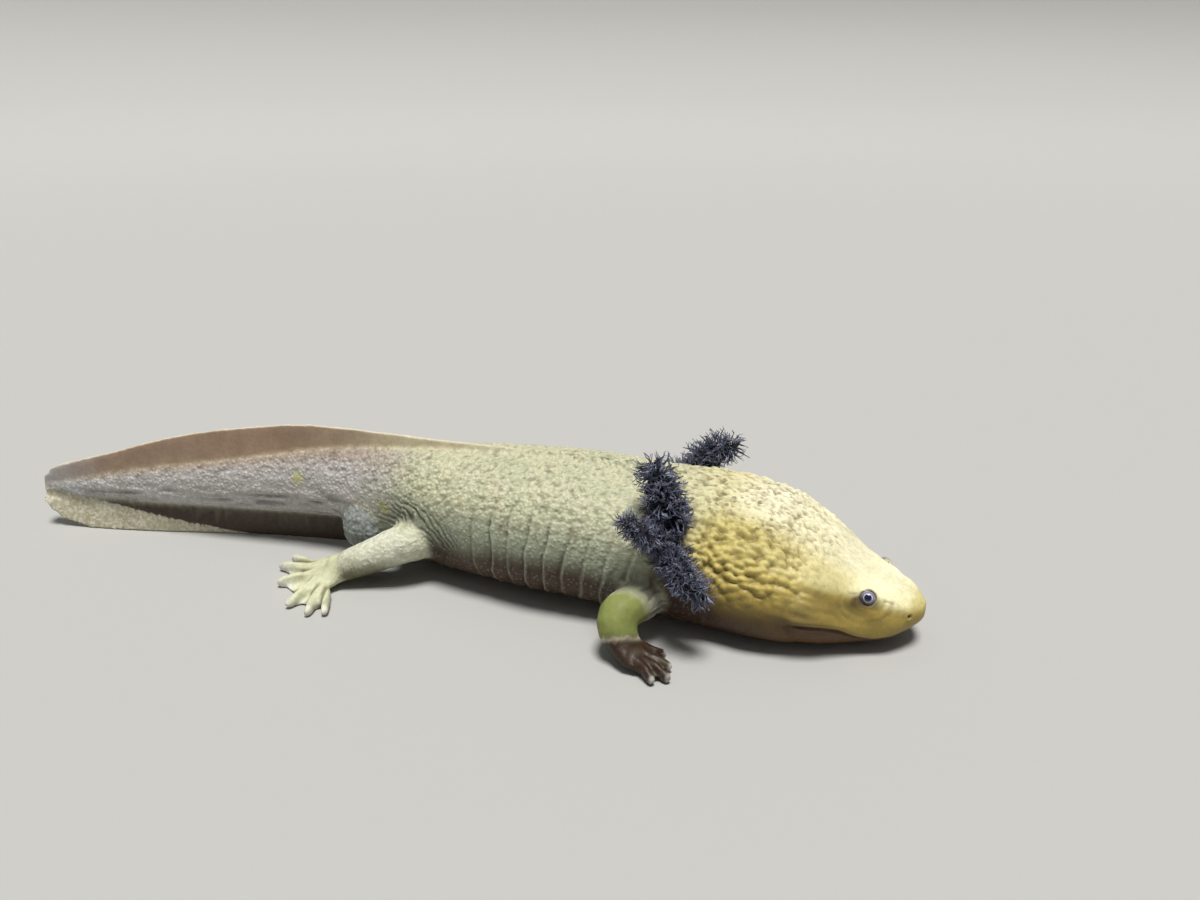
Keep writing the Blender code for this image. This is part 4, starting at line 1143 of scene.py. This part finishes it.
def unwrap_patches(mesh):
    """Lays each filament as a small patch at its root's place on an unwrap of the stalk's own shape."""
    root = numbers(mesh.attributes["root"].data, "vector")
    reach = numbers(mesh.attributes["reach"].data, "value", 1)
    stalk = numbers(mesh.attributes["stalk"].data, "value", 1) > 0.5
    corner = numbers(mesh.loops, "vertex_index", 1).astype(int)
    order = np.arange(len(root)) % TUBE_SIDES / TUBE_SIDES
    along, across = root[:, 0], root[:, 1]
    u = 0.02 + 0.96 * across + np.where(stalk, 0.0, (order - 0.5) * PATCH)
    v = np.where(stalk, 0.02 + 0.16 * along, 0.22 + 0.74 * along + (reach - 0.5) * PATCH)
    layer = mesh.uv_layers.new(name="OFBake")
    layer.data.foreach_set("uv", columns(u, v)[corner].ravel())


def make_gill(name, tree, seed):
    """A gill: its stalk with filaments all over."""
    reach, knots = GILLS[name]
    made = make_stalk(f"{name}_gill", knots)
    nodes = made.modifiers.new("filaments", "NODES")
    nodes.node_group = tree
    settings = {"Length": (reach - 0.8) * MM, "Radius": THICKNESS, "Density": PER_SQUARE_METRE,
                "Curl": WANDER, "Seed": seed}
    for item in tree.interface.items_tree:
        if item.name in settings:
            nodes[item.identifier] = settings[item.name]
    made = applied(made, f"{name}_gill")
    unwrap_patches(made.data)
    return made


# ---- the model ----

skin = make_skin()
skin.data.materials.append(skin_material())
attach(skin, "root")
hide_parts(*FLESH)

wet_eye = eye_material()
for side, name in ((-1, "right"), (1, "left")):
    eye = make_eye(side, f"{name}_eyeball")
    eye.data.materials.append(wet_eye)
    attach(eye, "root")
    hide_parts(f"eye_{name}")

filaments = filament_tree(gill_material())
for number, name in enumerate(GILLS):
    gill = make_gill(name, filaments, FIRST_SEED + number)
    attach(gill, "root")
    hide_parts(f"gill_{name}")

# ---- floor, light and camera ----

FLOOR_SIDES = 96
FLOOR_RINGS = ((0.02, 0), (1.2, 0), (1.6, 0.02), (1.9, 0.1), (2.1, 0.3), (2.2, 0.6), (2.2, 2.4))
FLOOR_LEVEL = -0.0001
LAMP_AT, LAMP_TO = Vector((0.06, -0.06, 0.62)), Vector((0, 0, 0.01))
CAMERA_AT = (Vector((78.15, -218.0, 131.83)) + SHIFT) * MM
CAMERA_TURN, CAMERA_DOWN = math.radians(17.1), math.radians(22.0)


def make_floor():
    """A pale board that sweeps up into a backdrop all round, well clear of the animal."""
    mesh = bmesh.new()
    loops = [[mesh.verts.new((out * math.cos(turn), out * math.sin(turn), up + FLOOR_LEVEL))
              for turn in turns(FLOOR_SIDES)] for out, up in FLOOR_RINGS]
    mesh.faces.new(loops[0])
    stitch(mesh, loops)
    return finished(mesh, "floor")


def aimed(name, data, spot, towards):
    """A light or camera at a spot in metres, turned to look towards a direction."""
    made = new_object(name, data)
    made.location = spot
    made.rotation_mode = "QUATERNION"
    made.rotation_quaternion = towards.to_track_quat("-Z", "Y")
    return made


floor = make_floor()
floor.data.materials.append(floor_material())

# even light from above, broad enough that its shadows have soft edges, and a dim sky all round
lamp = bpy.data.lights.new("overhead", "SUN")
lamp.angle, lamp.energy, lamp.color = math.radians(20.0), 3.9, (1.0, 0.98, 0.94)
aimed("overhead", lamp, LAMP_AT, LAMP_TO - LAMP_AT)
world = bpy.data.worlds.new("studio")
bpy.context.scene.world = world
world.use_nodes = True
sky = world.node_tree.nodes["Background"].inputs
sky["Color"].default_value, sky["Strength"].default_value = colour("#e6e8ec"), 0.34
bpy.context.scene.view_settings.view_transform = "Standard"

lens = bpy.data.cameras.new("camera")
lens.lens, lens.sensor_width = 27.0, 36.0
lens.clip_start, lens.clip_end = 0.01, 50.0
look = Vector((-math.sin(CAMERA_TURN) * math.cos(CAMERA_DOWN), math.cos(CAMERA_TURN) * math.cos(CAMERA_DOWN),
               -math.sin(CAMERA_DOWN)))
bpy.context.scene.camera = aimed("camera", lens, CAMERA_AT, look)
